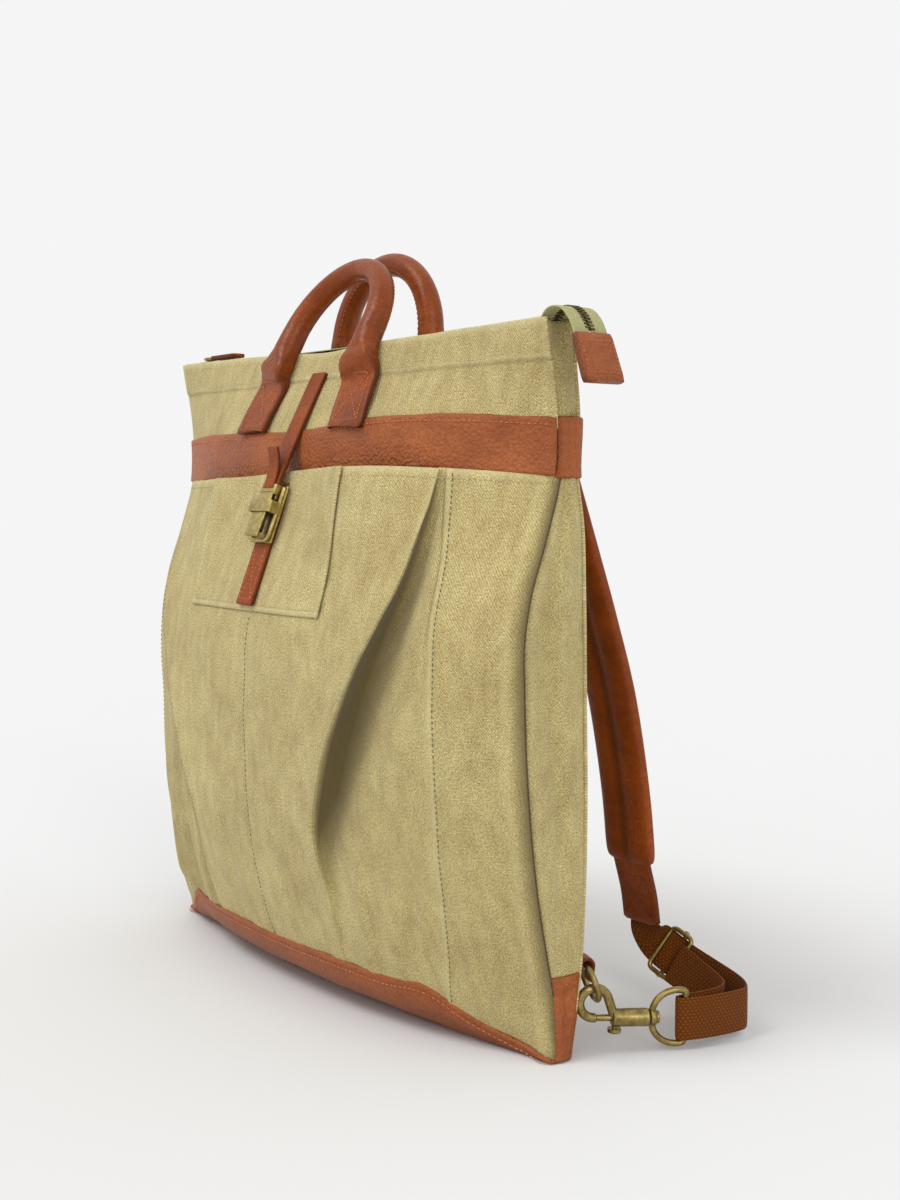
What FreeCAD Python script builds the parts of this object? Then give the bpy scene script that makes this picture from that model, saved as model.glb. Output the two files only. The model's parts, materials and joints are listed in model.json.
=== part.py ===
"""Canvas and leather satchel that turns into a backpack, as a parametric FreeCAD document.

+X runs to the bag's right end, -Y to its front, +Z up. The origin is the middle of the flat sole.
"""

import FreeCAD
import Part
import math
import os

import Sketcher
from FreeCAD import Placement, Rotation, Vector

DRIVING = {
    # body
    "bag_width": 420, "wall": 2, "seam_gap": 0.3, "lining_wall": 0.8, "board_thick": 2.5,
    # top handles
    "tab_pitch": 110, "grip_pitch": 94, "front_rise": 76, "back_rise": 74.5, "grip_radius": 7.5, "core_radius": 5,
    "tab_wide": 34, "tab_thick": 3.5, "tab_long": 36, "front_lean": 29, "back_lean": 4,
    # buckle at the front
    "clasp_tilt": 21, "clasp_wide": 25, "clasp_tall": 38, "clasp_plate_thick": 1.5, "keeper_tall": 8,
    "keeper_deep": 9, "metal": 1.2, "tongue_wide": 17, "front_strap_wide": 16, "front_tab_wide": 19,
    "leather": 3,
    # zipper
    "tape_wide": 9.4, "tape_thick": 0.8, "teeth_wide": 2.2, "teeth_tall": 2.4, "zip_level": 415.5,
    "zip_line": -13, "slider_long": 12, "slider_wide": 10, "pull_long": 34, "pull_wide": 11,
    # shoulder straps
    "pad_wide": 40, "pad_thick": 13, "foam_wide": 32, "foam_thick": 8, "strap_line": 162,
    "webbing_wide": 25, "webbing_thick": 1.6, "end_tab_wide": 30, "end_tab_thick": 5,
    # snap hooks, sliders and rings
    "ring_radius": 11.2, "ring_wire": 1.75, "loop_wide": 12, "barrel_radius": 5.2, "barrel_long": 22, "bolt_radius": 1.9,
    "hook_wire": 2.7, "hook_radius": 8.6, "eye_inside": 27, "eye_bar": 4, "stem_radius": 2.2,
    "slider_wire": 1.5, "running_gap": 0.3,
}

# Heights of the body's cross-sections, and where its four walls stand at each one: the front seam at
# the ends, the front wall and the pleated pocket at mid-width, the back seam and the back at mid-width.
LEVEL_FIELDS = ("height", "front_end", "wall_mid", "pocket_mid", "back_end", "back_mid")
LEVELS = {
    "sole": (0, -23, -25, -25, -7, 25),
    "hem": (32, -20, -46, -70, 2, 31),
    "knee": (80, -29, -50, -86, 8, 34),
    "belly": (140, -38, -55, -94, 9, 35),
    "chest": (200, -42, -56, -95, 8, 34),
    "collar": (255, -40, -56, -87.2, 7, 31),
    "throat": (300, -26, -52, -69.9, 5, 26),
    "mouth": (331, -17, -50, -58, 1, 22),
    "band": (361, -16, -49, -49, 2, 18),
    "rim": (413, -24, -23.5, -23.5, -1, 3),
}

doc = FreeCAD.newDocument("Satchel")
sheet = doc.addObject("Spreadsheet::Sheet", "Sizes")
parts = {}


def fill_sheet():
    """Write every driving dimension and section value to a cell with an alias."""
    rows = dict(DRIVING)
    for level, values in LEVELS.items():
        rows.update({f"{level}_{field}": value for field, value in zip(LEVEL_FIELDS, values)})
    for row, (alias, value) in enumerate(rows.items(), start=1):
        sheet.set(f"A{row}", alias.replace("_", " "))
        sheet.set(f"B{row}", str(value))
        sheet.setAlias(f"B{row}", alias)
    doc.recompute()


def size(alias):
    """The value of one cell."""
    return float(sheet.get(alias))


def level(name):
    """One cross-section as a dictionary of its fields."""
    return {field: size(f"{name}_{field}") for field in LEVEL_FIELDS}


def keep(obj, label, placement=None):
    """Register an object as the sub-part called label."""
    obj.Label = label
    if placement is not None:
        obj.Placement = placement
    parts[label] = obj
    return obj


def shape_part(label, shape, placement=None):
    """A sub-part whose shape comes from Part's own functions."""
    obj = doc.addObject("Part::Feature", label)
    obj.Shape = shape
    return keep(obj, label, placement)


def tilt_placement(position, degrees):
    """A placement turned about X."""
    return Placement(position, Rotation(Vector(1, 0, 0), degrees))


# ---------------------------------------------------------------- sketch and body helpers


def new_body(label):
    return doc.addObject("PartDesign::Body", label + "_body")


def sketch_on(body, role, name):
    """A sketch on one of the body's own origin planes."""
    plane = next(f for f in body.Origin.OriginFeatures if f.Role == role)
    sketch = body.newObject("Sketcher::SketchObject", name)
    sketch.AttachmentSupport = [(plane, "")]
    sketch.MapMode = "FlatFace"
    return sketch


def rectangle(sketch, tag, left, bottom, width, height):
    """A rectangle whose corner and sides are expressions of the sheet."""
    first = sketch.GeometryCount
    corners = [Vector(0, 0, 0), Vector(10, 0, 0), Vector(10, 10, 0), Vector(0, 10, 0)]
    for k in range(4):
        sketch.addGeometry(Part.LineSegment(corners[k], corners[(k + 1) % 4]), False)
    for k in range(4):
        sketch.addConstraint(Sketcher.Constraint("Coincident", first + k, 2, first + (k + 1) % 4, 1))
    for k, kind in enumerate(("Horizontal", "Vertical", "Horizontal", "Vertical")):
        sketch.addConstraint(Sketcher.Constraint(kind, first + k))
    wanted = (
        ("width", "DistanceX", (first, 1, first, 2, 10), width),
        ("height", "DistanceY", (first + 1, 1, first + 1, 2, 10), height),
        ("left", "DistanceX", (-1, 1, first, 1, 0.01), left),
        ("bottom", "DistanceY", (-1, 1, first, 1, 0.01), bottom),
    )
    for name, kind, where, expression in wanted:
        index = sketch.addConstraint(Sketcher.Constraint(kind, *where))
        sketch.renameConstraint(index, f"{tag}_{name}")
        sketch.setExpression(f"Constraints.{tag}_{name}", expression)


def circle(sketch, tag, x, y, radius):
    """A circle whose centre and radius are expressions of the sheet."""
    index = sketch.addGeometry(Part.Circle(Vector(1, 1, 0), Vector(0, 0, 1), 1), False)
    wanted = (
        ("radius", "Radius", (index, 1), radius),
        ("x", "DistanceX", (-1, 1, index, 3, 1), x),
        ("y", "DistanceY", (-1, 1, index, 3, 1), y),
    )
    for name, kind, where, expression in wanted:
        number = sketch.addConstraint(Sketcher.Constraint(kind, *where))
        sketch.renameConstraint(number, f"{tag}_{name}")
        sketch.setExpression(f"Constraints.{tag}_{name}", expression)


def outline(sketch, edges):
    """Free edges, given as two points for a line and three for an arc."""
    for points in edges:
        flat = [Vector(x, y, 0) for x, y in points]
        if len(flat) == 2:
            sketch.addGeometry(Part.LineSegment(flat[0], flat[1]), False)
        else:
            sketch.addGeometry(Part.Arc(flat[0], flat[1], flat[2]), False)


def closed_outline(sketch, corners):
    """A closed polygon."""
    outline(sketch, list(zip(corners, [*corners[1:], corners[0]])))


def pad(body, sketch, length, midplane=True):
    feature = body.newObject("PartDesign::Pad", "Pad")
    feature.Profile = sketch
    feature.Midplane = midplane
    feature.setExpression("Length", length)
    return feature


def pocket_through(body, sketch):
    feature = body.newObject("PartDesign::Pocket", "Pocket")
    feature.Profile = sketch
    feature.Type = "ThroughAll"
    feature.Midplane = True
    return feature


def boolean(kind, label, base, tools, placement=None):
    """A Part::Cut or Part::MultiFuse of other objects."""
    obj = doc.addObject(kind, label + "_solid")
    if kind == "Part::Cut":
        obj.Base, obj.Tool = base, tools
    else:
        obj.Shapes = [base, *tools]
    return keep(obj, label, placement)


def primitive(kind, placement, **expressions):
    """A Part primitive with its sizes bound to the sheet."""
    obj = doc.addObject(kind, kind.split("::")[1])
    obj.Placement = placement
    for name, expression in expressions.items():
        obj.setExpression(name, expression)
    return obj


def mirrored(label, source):
    """The left-hand twin of a right-hand sub-part."""
    obj = doc.addObject("Part::Mirroring", label + "_mirror")
    obj.Source = source
    obj.Normal = Vector(1, 0, 0)
    return keep(obj, label)


# ---------------------------------------------------------------- body panels


# Exponent of the bowed sections: 2 is a parabola, more is flatter in the middle.
FULLNESS = 2.6


def bow(share):
    """How far a bowed section has fallen back, 0 at mid-width and 1 at the seam."""
    return abs(share) ** FULLNESS


def arc_edge(half, end_y, mid_y, z):
    """A bowed edge across the bag at height z."""
    points = [Vector(half * k / 4, mid_y + (end_y - mid_y) * bow(k / 4), z) for k in range(-4, 5)]
    curve = Part.BSplineCurve()
    curve.interpolate(points)
    return curve.toShape()


def strip_section(half, end_y, mid_y, thick, z):
    """A thin bowed strip lying across the bag at height z, its outer side towards -Y if thick > 0."""
    outer = arc_edge(half, end_y, mid_y, z)
    inner = arc_edge(half, end_y + thick, mid_y + thick, z)
    right = Part.makeLine(Vector(half, end_y, z), Vector(half, end_y + thick, z))
    left = Part.makeLine(Vector(-half, end_y, z), Vector(-half, end_y + thick, z))
    return Part.Wire([outer, right, inner, left])


def at_height(z, fields):
    """Section fields at any height, read in a straight line between the levels."""
    names = list(LEVELS)
    heights = [level(n)["height"] for n in names]
    upper = next((k for k, h in enumerate(heights) if h >= z), len(names) - 1)
    upper = max(upper, 1)
    low, high = level(names[upper - 1]), level(names[upper])
    share = (z - low["height"]) / (high["height"] - low["height"])
    return [low[f] + share * (high[f] - low[f]) for f in fields]


def heights_between(bottom, top):
    """The two ends and every level height between them."""
    inside = [level(n)["height"] for n in LEVELS if bottom + 1 < level(n)["height"] < top - 1]
    return [bottom, *inside, top]


def bowed_panel(bottom, top, fields, inset, thick):
    """A panel that follows one wall of the body between two heights."""
    half = size("bag_width") / 2 - size("wall") - 0.5
    wires = []
    for z in heights_between(bottom, top):
        end_y, mid_y = at_height(z, fields)
        wires.append(strip_section(half, end_y + inset, mid_y + inset, thick, z))
    return Part.makeLoft(wires, True, True)


def ring_section(half, inset, z, front_field="wall_mid"):
    """The whole outline of the body at height z, drawn in by inset."""
    front_end, front_mid, back_end, back_mid = at_height(z, ("front_end", front_field, "back_end", "back_mid"))
    front = arc_edge(half, front_end + inset, front_mid + inset, z)
    back = arc_edge(half, back_end - inset, back_mid - inset, z)
    right = Part.makeLine(Vector(half, front_end + inset, z), Vector(half, back_end - inset, z))
    left = Part.makeLine(Vector(-half, front_end + inset, z), Vector(-half, back_end - inset, z))
    return Part.Wire([front, right, back, left])


def tub(bottom, top, half, inset):
    """A solid with the body's outline between two heights, drawn in by inset."""
    wires = [ring_section(half, inset, z) for z in heights_between(bottom, top)]
    return Part.makeLoft(wires, True, True)


# Upper edge of the base leather along the front: it runs level and drops to the sole at both corners.
LEATHER_EDGE = ((-211, 6), (-186, 17), (-150, 28), (-66, 32), (66, 32), (150, 28), (186, 17), (211, 6))


def above_leather_edge(lift):
    """Everything in front of the bag's middle that is higher than the leather's front edge."""
    points = [Vector(x, -130, z + lift) for x, z in LEATHER_EDGE]
    points = [Vector(-230, -130, points[0].z), *points, Vector(230, -130, points[-1].z)]
    points += [Vector(230, -130, 360), Vector(-230, -130, 360)]
    return Part.Face(Part.makePolygon([*points, points[0]])).extrude(Vector(0, 118, 0))


def make_base():
    """Boat-shaped leather base with turned-up edges, and the stiffening board in it."""
    wall, half = size("wall"), size("bag_width") / 2
    hem = level("hem")["height"]
    front = "pocket_mid"
    outside = [ring_section(half - 4, 0, 0, front), ring_section(half, 0, hem, front)]
    inside = [ring_section(half - 4 - wall, wall, wall, front), ring_section(half - wall, wall, hem + wall, front)]
    shell = Part.makeLoft(outside, True, True).cut(Part.makeLoft(inside, True, True)).cut(above_leather_edge(0))
    right_gap = Part.makeBox(20, 200, 100, Vector(half - wall - size("seam_gap"), -100, 2 * wall))
    left_gap = right_gap.mirror(Vector(0, 0, 0), Vector(1, 0, 0))
    shape_part("leather_base", shell.cut([right_gap, left_gap]))

    body = new_body("base_board")
    sketch = sketch_on(body, "XY_Plane", "board_outline")
    reach, front, back = half - 22, -19, 20
    outline(sketch, [((-reach, front), (reach, front)), ((reach, front), (reach, -10)),
                     ((reach, -10), (0, back), (-reach, -10)), ((-reach, -10), (-reach, front))])
    pad(body, sketch, "Sizes.board_thick", midplane=False)
    keep(body, "base_board", Placement(Vector(0, 0, size("wall") + 0.5), Rotation()))


def make_panels():
    """The pleated pocket, the wall behind it, the back, and the leather band and yoke over both."""
    wall, gap = size("wall"), size("seam_gap")
    hem, mouth, band, rim = (level(n)["height"] for n in ("hem", "mouth", "band", "rim"))
    front, pocket, back = ("front_end", "wall_mid"), ("front_end", "pocket_mid"), ("back_end", "back_mid")
    whole = bowed_panel(6, mouth, pocket, 0, wall)
    shape_part("front_pocket_panel", whole.common(above_leather_edge(gap)))
    shape_part("front_wall", bowed_panel(hem + gap, mouth - gap, front, wall + gap, wall))
    shape_part("front_band", bowed_panel(mouth, band - gap, front, 0, wall))
    shape_part("front_yoke", bowed_panel(band, rim, front, 0, wall))
    shape_part("back_panel", bowed_panel(hem + gap, mouth - gap, back, 0, -wall))
    shape_part("back_band", bowed_panel(mouth, band - gap, back, 0, -wall))
    shape_part("back_yoke", bowed_panel(band, rim, back, 0, -wall))


def make_patch_pocket():
    """Small square pocket sewn on the pleated pocket, lying just in front of it."""
    bottom, top, half, thick = 247, 330, 78, 1.4
    proud = size("seam_gap") + thick
    wires = []
    for z in heights_between(bottom, top):
        end_y, mid_y = at_height(z, ("front_end", "pocket_mid"))
        side_y = mid_y + (end_y - mid_y) * bow(half / (size("bag_width") / 2))
        wires.append(strip_section(half, side_y - proud, mid_y - proud, thick, z))
    shape_part("patch_pocket", Part.makeLoft(wires, True, True))


def end_plate(label, bottom, top):
    """A flat piece of the right-hand end, between the front and the back seam."""
    body = new_body(label)
    sketch = sketch_on(body, "YZ_Plane", label + "_outline")
    heights = heights_between(bottom, top)
    front = [(at_height(z, ("front_end",))[0], z) for z in heights]
    back = [(at_height(z, ("back_end",))[0], z) for z in heights]
    loop = front + back[::-1]
    outline(sketch, [(loop[k], loop[(k + 1) % len(loop)]) for k in range(len(loop))])
    pad(body, sketch, "Sizes.wall", midplane=False)
    return keep(body, label, Placement(Vector(size("bag_width") / 2 - size("wall"), 0, 0), Rotation()))


def make_ends():
    """Leather corner patch, gusset, leather band and top piece at each end."""
    gap = size("seam_gap")
    hem, mouth, band, rim = (level(n)["height"] for n in ("hem", "mouth", "band", "rim"))
    patch_top = hem + 16
    pieces = (("end_patch", 2 * size("wall") + gap, patch_top), ("gusset", patch_top + gap, mouth - gap),
              ("gusset_band", mouth, band - gap), ("gusset_top", band, rim))
    for name, bottom, top in pieces:
        mirrored("left_" + name, end_plate("right_" + name, bottom, top))


def make_lining():
    """Thin inner bag, open at the top, hanging inside the four walls."""
    wall, skin = size("wall"), size("lining_wall")
    half = size("bag_width") / 2 - wall - 4
    inset = 2 * wall + 1
    bottom, top = size("wall") + size("board_thick") + 4, level("rim")["height"] - 6
    outer = tub(bottom, top, half, inset)
    inner = tub(bottom + skin, top + skin, half - skin, inset + skin)
    shape_part("lining", outer.cut(inner))


# ---------------------------------------------------------------- zipper


# The tail of the zipper past the bag's end, as steps along X and Z.
TAIL = ((0, 0), (7, 5), (17, 5.5), (26, -1), (31, -12))
# Cross-sections of strips, in half widths and half thicknesses.
FLAT = ((-1, -1), (1, -1), (1, 1), (-1, 1))
PADDED = ((-1, -0.3), (-0.6, -1), (0.6, -1), (1, -0.3), (1, 0.3), (0.6, 1), (-0.6, 1), (-1, 0.3))


def ribbon(stations, width, thick, section=FLAT):
    """A strip through stations of (point, width direction), as one closed solid."""
    wires = []
    for k, (point, across) in enumerate(stations):
        before = stations[max(k - 1, 0)][0]
        after = stations[min(k + 1, len(stations) - 1)][0]
        along = (after - before).normalize()
        across = (across - along * across.dot(along)).normalize()
        out = along.cross(across).normalize()
        corners = [point + across * (a * width / 2) + out * (b * thick / 2) for a, b in section]
        wires.append(Part.makePolygon(corners + corners[:1]))
    return Part.makeLoft(wires, True, True)


def make_zipper():
    """Two tapes with their tooth rows, the folded end tab past the right end, slider and puller."""
    half, level_z, line_y = size("bag_width") / 2, size("zip_level"), size("zip_line")
    tape, tooth, slot = size("tape_wide"), size("teeth_wide"), 1.6
    start = Vector(half - 6, line_y, level_z)
    across = Vector(0, 1, 0)
    run = [Vector(-half + 6, line_y, level_z)] + [start + Vector(x, 0, z) for x, z in TAIL]
    for name, side in (("front", -1), ("back", 1)):
        shift = Vector(0, side * (slot + tape) / 2, 0)
        strip = ribbon([(p + shift, across) for p in run], tape - slot, size("tape_thick"))
        shape_part(f"zip_tape_{name}", strip)
        lift = Vector(0, side * ((slot + tooth) / 2 - 0.6), 0)
        beads = [run[0] + lift + Vector(8, 0, 0)] + [p + lift for p in run[1:]]
        rail = ribbon([(p, across) for p in beads], tooth - 1.4, size("teeth_tall"))
        shape_part(f"zip_teeth_{name}", rail)
    end = start + Vector(TAIL[-1][0], 0, TAIL[-1][1])
    fall = Vector(9, 0, -23)
    tab = ribbon([(end + Vector(0.6, 0, -0.8), across), (end + fall, across)], 27, 5.2)
    shape_part("zip_end_tab", tab)
    stop_at = Vector(-half + 10, line_y, level_z)
    shape_part("zip_stop", Part.makeBox(2.4, 5.6, 2.8, stop_at + Vector(-1.2, -2.8, -1.4)))
    make_zip_slider(Vector(-half + 22, line_y, level_z))


def make_zip_slider(centre):
    """Slider with a thin keel in the slot between the tooth rows, wire link and leather puller."""
    plate, gap, keel = 1.2, 1.6, 1.0
    at = Placement(centre, Rotation())
    plates = []
    for z in (gap, -gap - plate):
        corner = Placement(Vector(-6, -5, z), Rotation())
        box = primitive("Part::Box", corner, Length="Sizes.slider_long", Width="Sizes.slider_wide")
        box.Height = plate
        plates.append(box)
    post = primitive("Part::Box", Placement(Vector(-5, -keel / 2, -gap - 0.2), Rotation()))
    post.Length, post.Width, post.Height = 4, keel, 2 * gap + 0.4
    lug = primitive("Part::Box", Placement(Vector(-3.5, -1.5, gap + plate - 0.1), Rotation()))
    lug.Length, lug.Width, lug.Height = 5, 3, 3.6
    hole = primitive("Part::Cylinder", Placement(Vector(-1, 5, gap + plate + 2), Rotation(Vector(1, 0, 0), 90)))
    hole.Radius, hole.Height = 1.05, 10
    whole = doc.addObject("Part::MultiFuse", "slider_blank")
    whole.Shapes = [*plates, post, lug]
    boolean("Part::Cut", "zip_slider", whole, hole, at)

    pin_at = centre + Vector(-1, 0, gap + plate + 2)
    pin = Part.makeCylinder(0.85, 8, Vector(0, -4, 0), Vector(0, 1, 0))
    arms = [Part.makeBox(10, 1.6, 1.7, Vector(-0.85, y, -0.85)) for y in (-4, 2.4)]
    cross = Part.makeBox(2.2, 8, 1.7, Vector(8.4, -4, -0.85))
    shape_part("zip_link", pin.fuse([*arms, cross]), Placement(pin_at, Rotation()))

    body = new_body("zip_puller")
    sketch = sketch_on(body, "XY_Plane", "puller_outline")
    rectangle(sketch, "leather", "0 mm", "-Sizes.pull_wide / 2", "Sizes.pull_long", "Sizes.pull_wide")
    pad(body, sketch, "Sizes.leather", midplane=True)
    keep(body, "zip_puller", Placement(pin_at + Vector(11, 0, 0.2), Rotation()))


# ---------------------------------------------------------------- top handles


HANDLES = {
    "front": {"pivot": (-40.3, 399.5), "lean": "front_lean", "rise": "front_rise", "side": -1},
    "back": {"pivot": (14.6, 397), "lean": "back_lean", "rise": "back_rise", "side": 1},
}


def handle_path(body, name, rise):
    """Two short legs joined by a half circle, in the body's own XZ plane."""
    half = size("grip_pitch") / 2
    leg, start = rise - half, 4
    sketch = sketch_on(body, "XZ_Plane", name)
    left, arch = ((-half, start), (-half, leg)), ((-half, leg), (0, rise), (half, leg))
    outline(sketch, [left, arch, ((half, leg), (half, start))])
    return sketch, start


def pipe(body, kind, profile, path):
    """A sweep of a profile along every edge of a path sketch."""
    feature = body.newObject(kind, "Pipe")
    feature.Profile = profile
    feature.Spine = (path, [f"Edge{k + 1}" for k in range(path.GeometryCount)])
    return feature


def handle_profile(body, name, start, radius):
    """A circle at the foot of the left leg."""
    sketch = sketch_on(body, "XY_Plane", name)
    circle(sketch, "rim", "-Sizes.grip_pitch / 2", "0 mm", radius)
    sketch.AttachmentOffset = Placement(Vector(0, 0, start), Rotation())
    return sketch


def make_handle(side):
    """A rolled leather grip round its cord core."""
    facts = HANDLES[side]
    pivot = Vector(0, *facts["pivot"])
    place = tilt_placement(pivot, -size(facts["lean"]))
    rise = size(facts["rise"])
    body = new_body(side + "_grip")
    path, start = handle_path(body, side + "_grip_path", rise)
    rim = handle_profile(body, side + "_grip_rim", start, "Sizes.grip_radius")
    pipe(body, "PartDesign::AdditivePipe", rim, path)
    doc.recompute()
    hollow = handle_profile(body, side + "_grip_hollow", start, "Sizes.core_radius + Sizes.seam_gap")
    pipe(body, "PartDesign::SubtractivePipe", hollow, path)
    keep(body, side + "_handle_grip", place)

    core = new_body(side + "_core")
    path, start = handle_path(core, side + "_core_path", rise)
    rim = handle_profile(core, side + "_core_rim", start, "Sizes.core_radius")
    pipe(core, "PartDesign::AdditivePipe", rim, path)
    keep(core, side + "_handle_core", place)


def handle_tabs(side):
    """One handle's two flat sewn ends, lying on the yoke below the fold."""
    facts = HANDLES[side]
    pivot = Vector(0, *facts["pivot"])
    reach = size("tab_pitch") / 2
    bottom_z = pivot.z - size("tab_long")
    fields = ("front_end", "wall_mid") if side == "front" else ("back_end", "back_mid")
    share = bow(reach / (size("bag_width") / 2))
    stand_off = facts["side"] * (size("tab_thick") / 2 + 1.2)

    def surface(z):
        end_y, mid_y = at_height(z, fields)
        return mid_y + (end_y - mid_y) * share + stand_off

    shapes = []
    for x in (-reach, reach):
        run = [(Vector(x, surface(bottom_z), bottom_z), Vector(1, 0, 0)),
               (Vector(x, surface(pivot.z - 2), pivot.z - 2), Vector(1, 0, 0))]
        shapes.append(ribbon(run, size("tab_wide"), size("tab_thick")))
    return shapes


# ---------------------------------------------------------------- front strap and buckle


CLASP_AT = (-72.6, 307.3)


def make_clasp():
    """Push-in buckle: lower tab, plate and keeper stay on the pocket, the tongue hangs on the strap."""
    place = tilt_placement(Vector(0, *CLASP_AT), -size("clasp_tilt"))
    tab_bottom, tab_top = -59, 22
    body = new_body("clasp_tab")
    sketch = sketch_on(body, "YZ_Plane", "clasp_tab_side")
    closed_outline(sketch, [(3.2, tab_top), (0.2, tab_top), (0.2, tab_bottom), (3.2, tab_bottom)])
    pad(body, sketch, "Sizes.front_tab_wide")
    keep(body, "clasp_tab", place)

    body = new_body("clasp_plate")
    sketch = sketch_on(body, "XZ_Plane", "clasp_plate_face")
    corner = ("-Sizes.clasp_wide / 2", "-Sizes.clasp_tall / 2")
    rectangle(sketch, "face", *corner, "Sizes.clasp_wide", "Sizes.clasp_tall")
    pad(body, sketch, "Sizes.clasp_plate_thick", midplane=False)
    keep(body, "clasp_plate", place)

    body = new_body("clasp_keeper")
    sketch = sketch_on(body, "XY_Plane", "clasp_keeper_ring")
    rectangle(sketch, "outside", "-Sizes.clasp_wide / 2", "-Sizes.clasp_plate_thick - Sizes.keeper_deep",
              "Sizes.clasp_wide", "Sizes.keeper_deep")
    rectangle(sketch, "inside", "-Sizes.clasp_wide / 2 + Sizes.metal",
              "-Sizes.clasp_plate_thick - Sizes.keeper_deep + Sizes.metal",
              "Sizes.clasp_wide - 2 * Sizes.metal", "Sizes.keeper_deep - Sizes.metal - 0.6")
    pad(body, sketch, "Sizes.keeper_tall", midplane=True)
    keep(body, "clasp_keeper", Placement(place.multVec(Vector(0, 0, 3)), place.Rotation))

    body = new_body("clasp_tongue")
    sketch = sketch_on(body, "YZ_Plane", "clasp_tongue_side")
    back, front, wedge = -2.4, -7.0, -9.0
    closed_outline(sketch, [(back, 18), (front, 18), (front, 8), (front + 0.4, -2), (wedge, -15), (back, -17)])
    pad(body, sketch, "Sizes.tongue_wide")
    keep(body, "clasp_tongue", place)
    make_closure_strap(place)


def make_closure_strap(place):
    """Leather strap sewn to the yoke, bridging the band and ending in the tongue."""
    line = [Vector(0, -35.6, 395), Vector(0, -43.2, 380), Vector(0, -56.5, 361), place.multVec(Vector(0, -5, 18.6))]
    stations = [(point, Vector(1, 0, 0)) for point in line]
    shape_part("closure_strap", ribbon(stations, size("front_strap_wide"), size("leather")))


# ---------------------------------------------------------------- shoulder straps (right side, then mirrored)


# Middle line of the padded strap behind the bag: distance behind the origin and height.
PAD_LINE = ((20, 341), (27, 322), (41, 285), (55, 247), (71, 198), (83, 140), (89, 92))
TAB_LINE = ((90, 91), (96, 72), (99, 55))
# Middle of the webbing from the tab round the snap hook's bar and back, with its width direction.
WEBBING_LINE = (
    ((163, 99.5, 54.3), (1, -0.1, 0)), ((164, 103, 46), (0.9, 0.25, 0.4)), ((169, 107, 39), (0.5, 0.5, 0.7)),
    ((178, 109.5, 33.5), (0.12, 0.5, 0.86)), ((189, 111.2, 29), (0.1, 0.4, 0.9)), ((205, 113, 24.5), (0, 0.25, 0.96)),
    ((224, 113.5, 20.5), (0, 0.1, 1)), ((236, 111.5, 18.5), (0, 0, 1)), ((243, 105.5, 18), (0, 0, 1)),
    ((244.5, 97, 18), (0, 0, 1)), ((243, 80, 18.2), (0, 0, 1)), ((239.5, 64, 18.5), (0, 0, 1)),
    ((236.5, 58, 18.5), (0, 0, 1)), ((232.8, 58.2, 18.5), (0, 0, 1)), ((231.8, 62, 18.5), (0, 0, 1)),
    ((234, 76, 18.5), (0, 0, 1)), ((235, 90, 18.6), (0, 0, 1)), ((230, 99.5, 19), (0, 0.05, 1)),
    ((218, 103.5, 21), (0, 0.1, 1)), ((200, 104.5, 25.5), (0, 0.25, 0.96)), ((184.5, 104.6, 30.5), (0.1, 0.4, 0.9)),
)
SLIDER_AT, SLIDER_ALONG, SLIDER_ACROSS = (178, 109.5, 33.5), (0.92, 0.13, -0.37), (0.12, 0.5, 0.86)
SNAP_AT, SNAP_ALONG = (216, 22.6, 21.3), (0.454, 0.889, -0.042)
RING_AT, RING_TURN, RING_TILT = (206, 14.9, 41.6), -22, 18


def frame_from(point, along, up):
    """A placement whose local X runs along and local Z is as near up as it can be."""
    x = Vector(*along).normalize()
    z = (Vector(*up) - x * Vector(*up).dot(x)).normalize()
    y = z.cross(x)
    matrix = FreeCAD.Matrix(x.x, y.x, z.x, point[0], x.y, y.y, z.y, point[1], x.z, y.z, z.z, point[2], 0, 0, 0, 1)
    return Placement(matrix)


def make_strap():
    """Padded cover, its foam, the end tab and the webbing."""
    line = size("strap_line")
    across = Vector(1, 0, 0)
    run = [(Vector(line, y, z), across) for y, z in PAD_LINE]
    shell = ribbon(run, size("pad_wide"), size("pad_thick"), PADDED)
    inside = ribbon(run[1:-1], size("foam_wide") + 0.6, size("foam_thick") + 0.6, PADDED)
    foam = ribbon(run[1:-1], size("foam_wide"), size("foam_thick"), PADDED)
    shape_part("right_strap_cover", shell.cut(inside))
    shape_part("right_strap_foam", foam)
    tab_run = [(Vector(line, y, z - 1.5), across) for y, z in TAB_LINE]
    shape_part("right_strap_tab", ribbon(tab_run, size("end_tab_wide"), size("end_tab_thick")))
    webbing = [(Vector(*p), Vector(*w)) for p, w in WEBBING_LINE]
    shape_part("right_webbing", ribbon(webbing, size("webbing_wide"), size("webbing_thick")))


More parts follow.
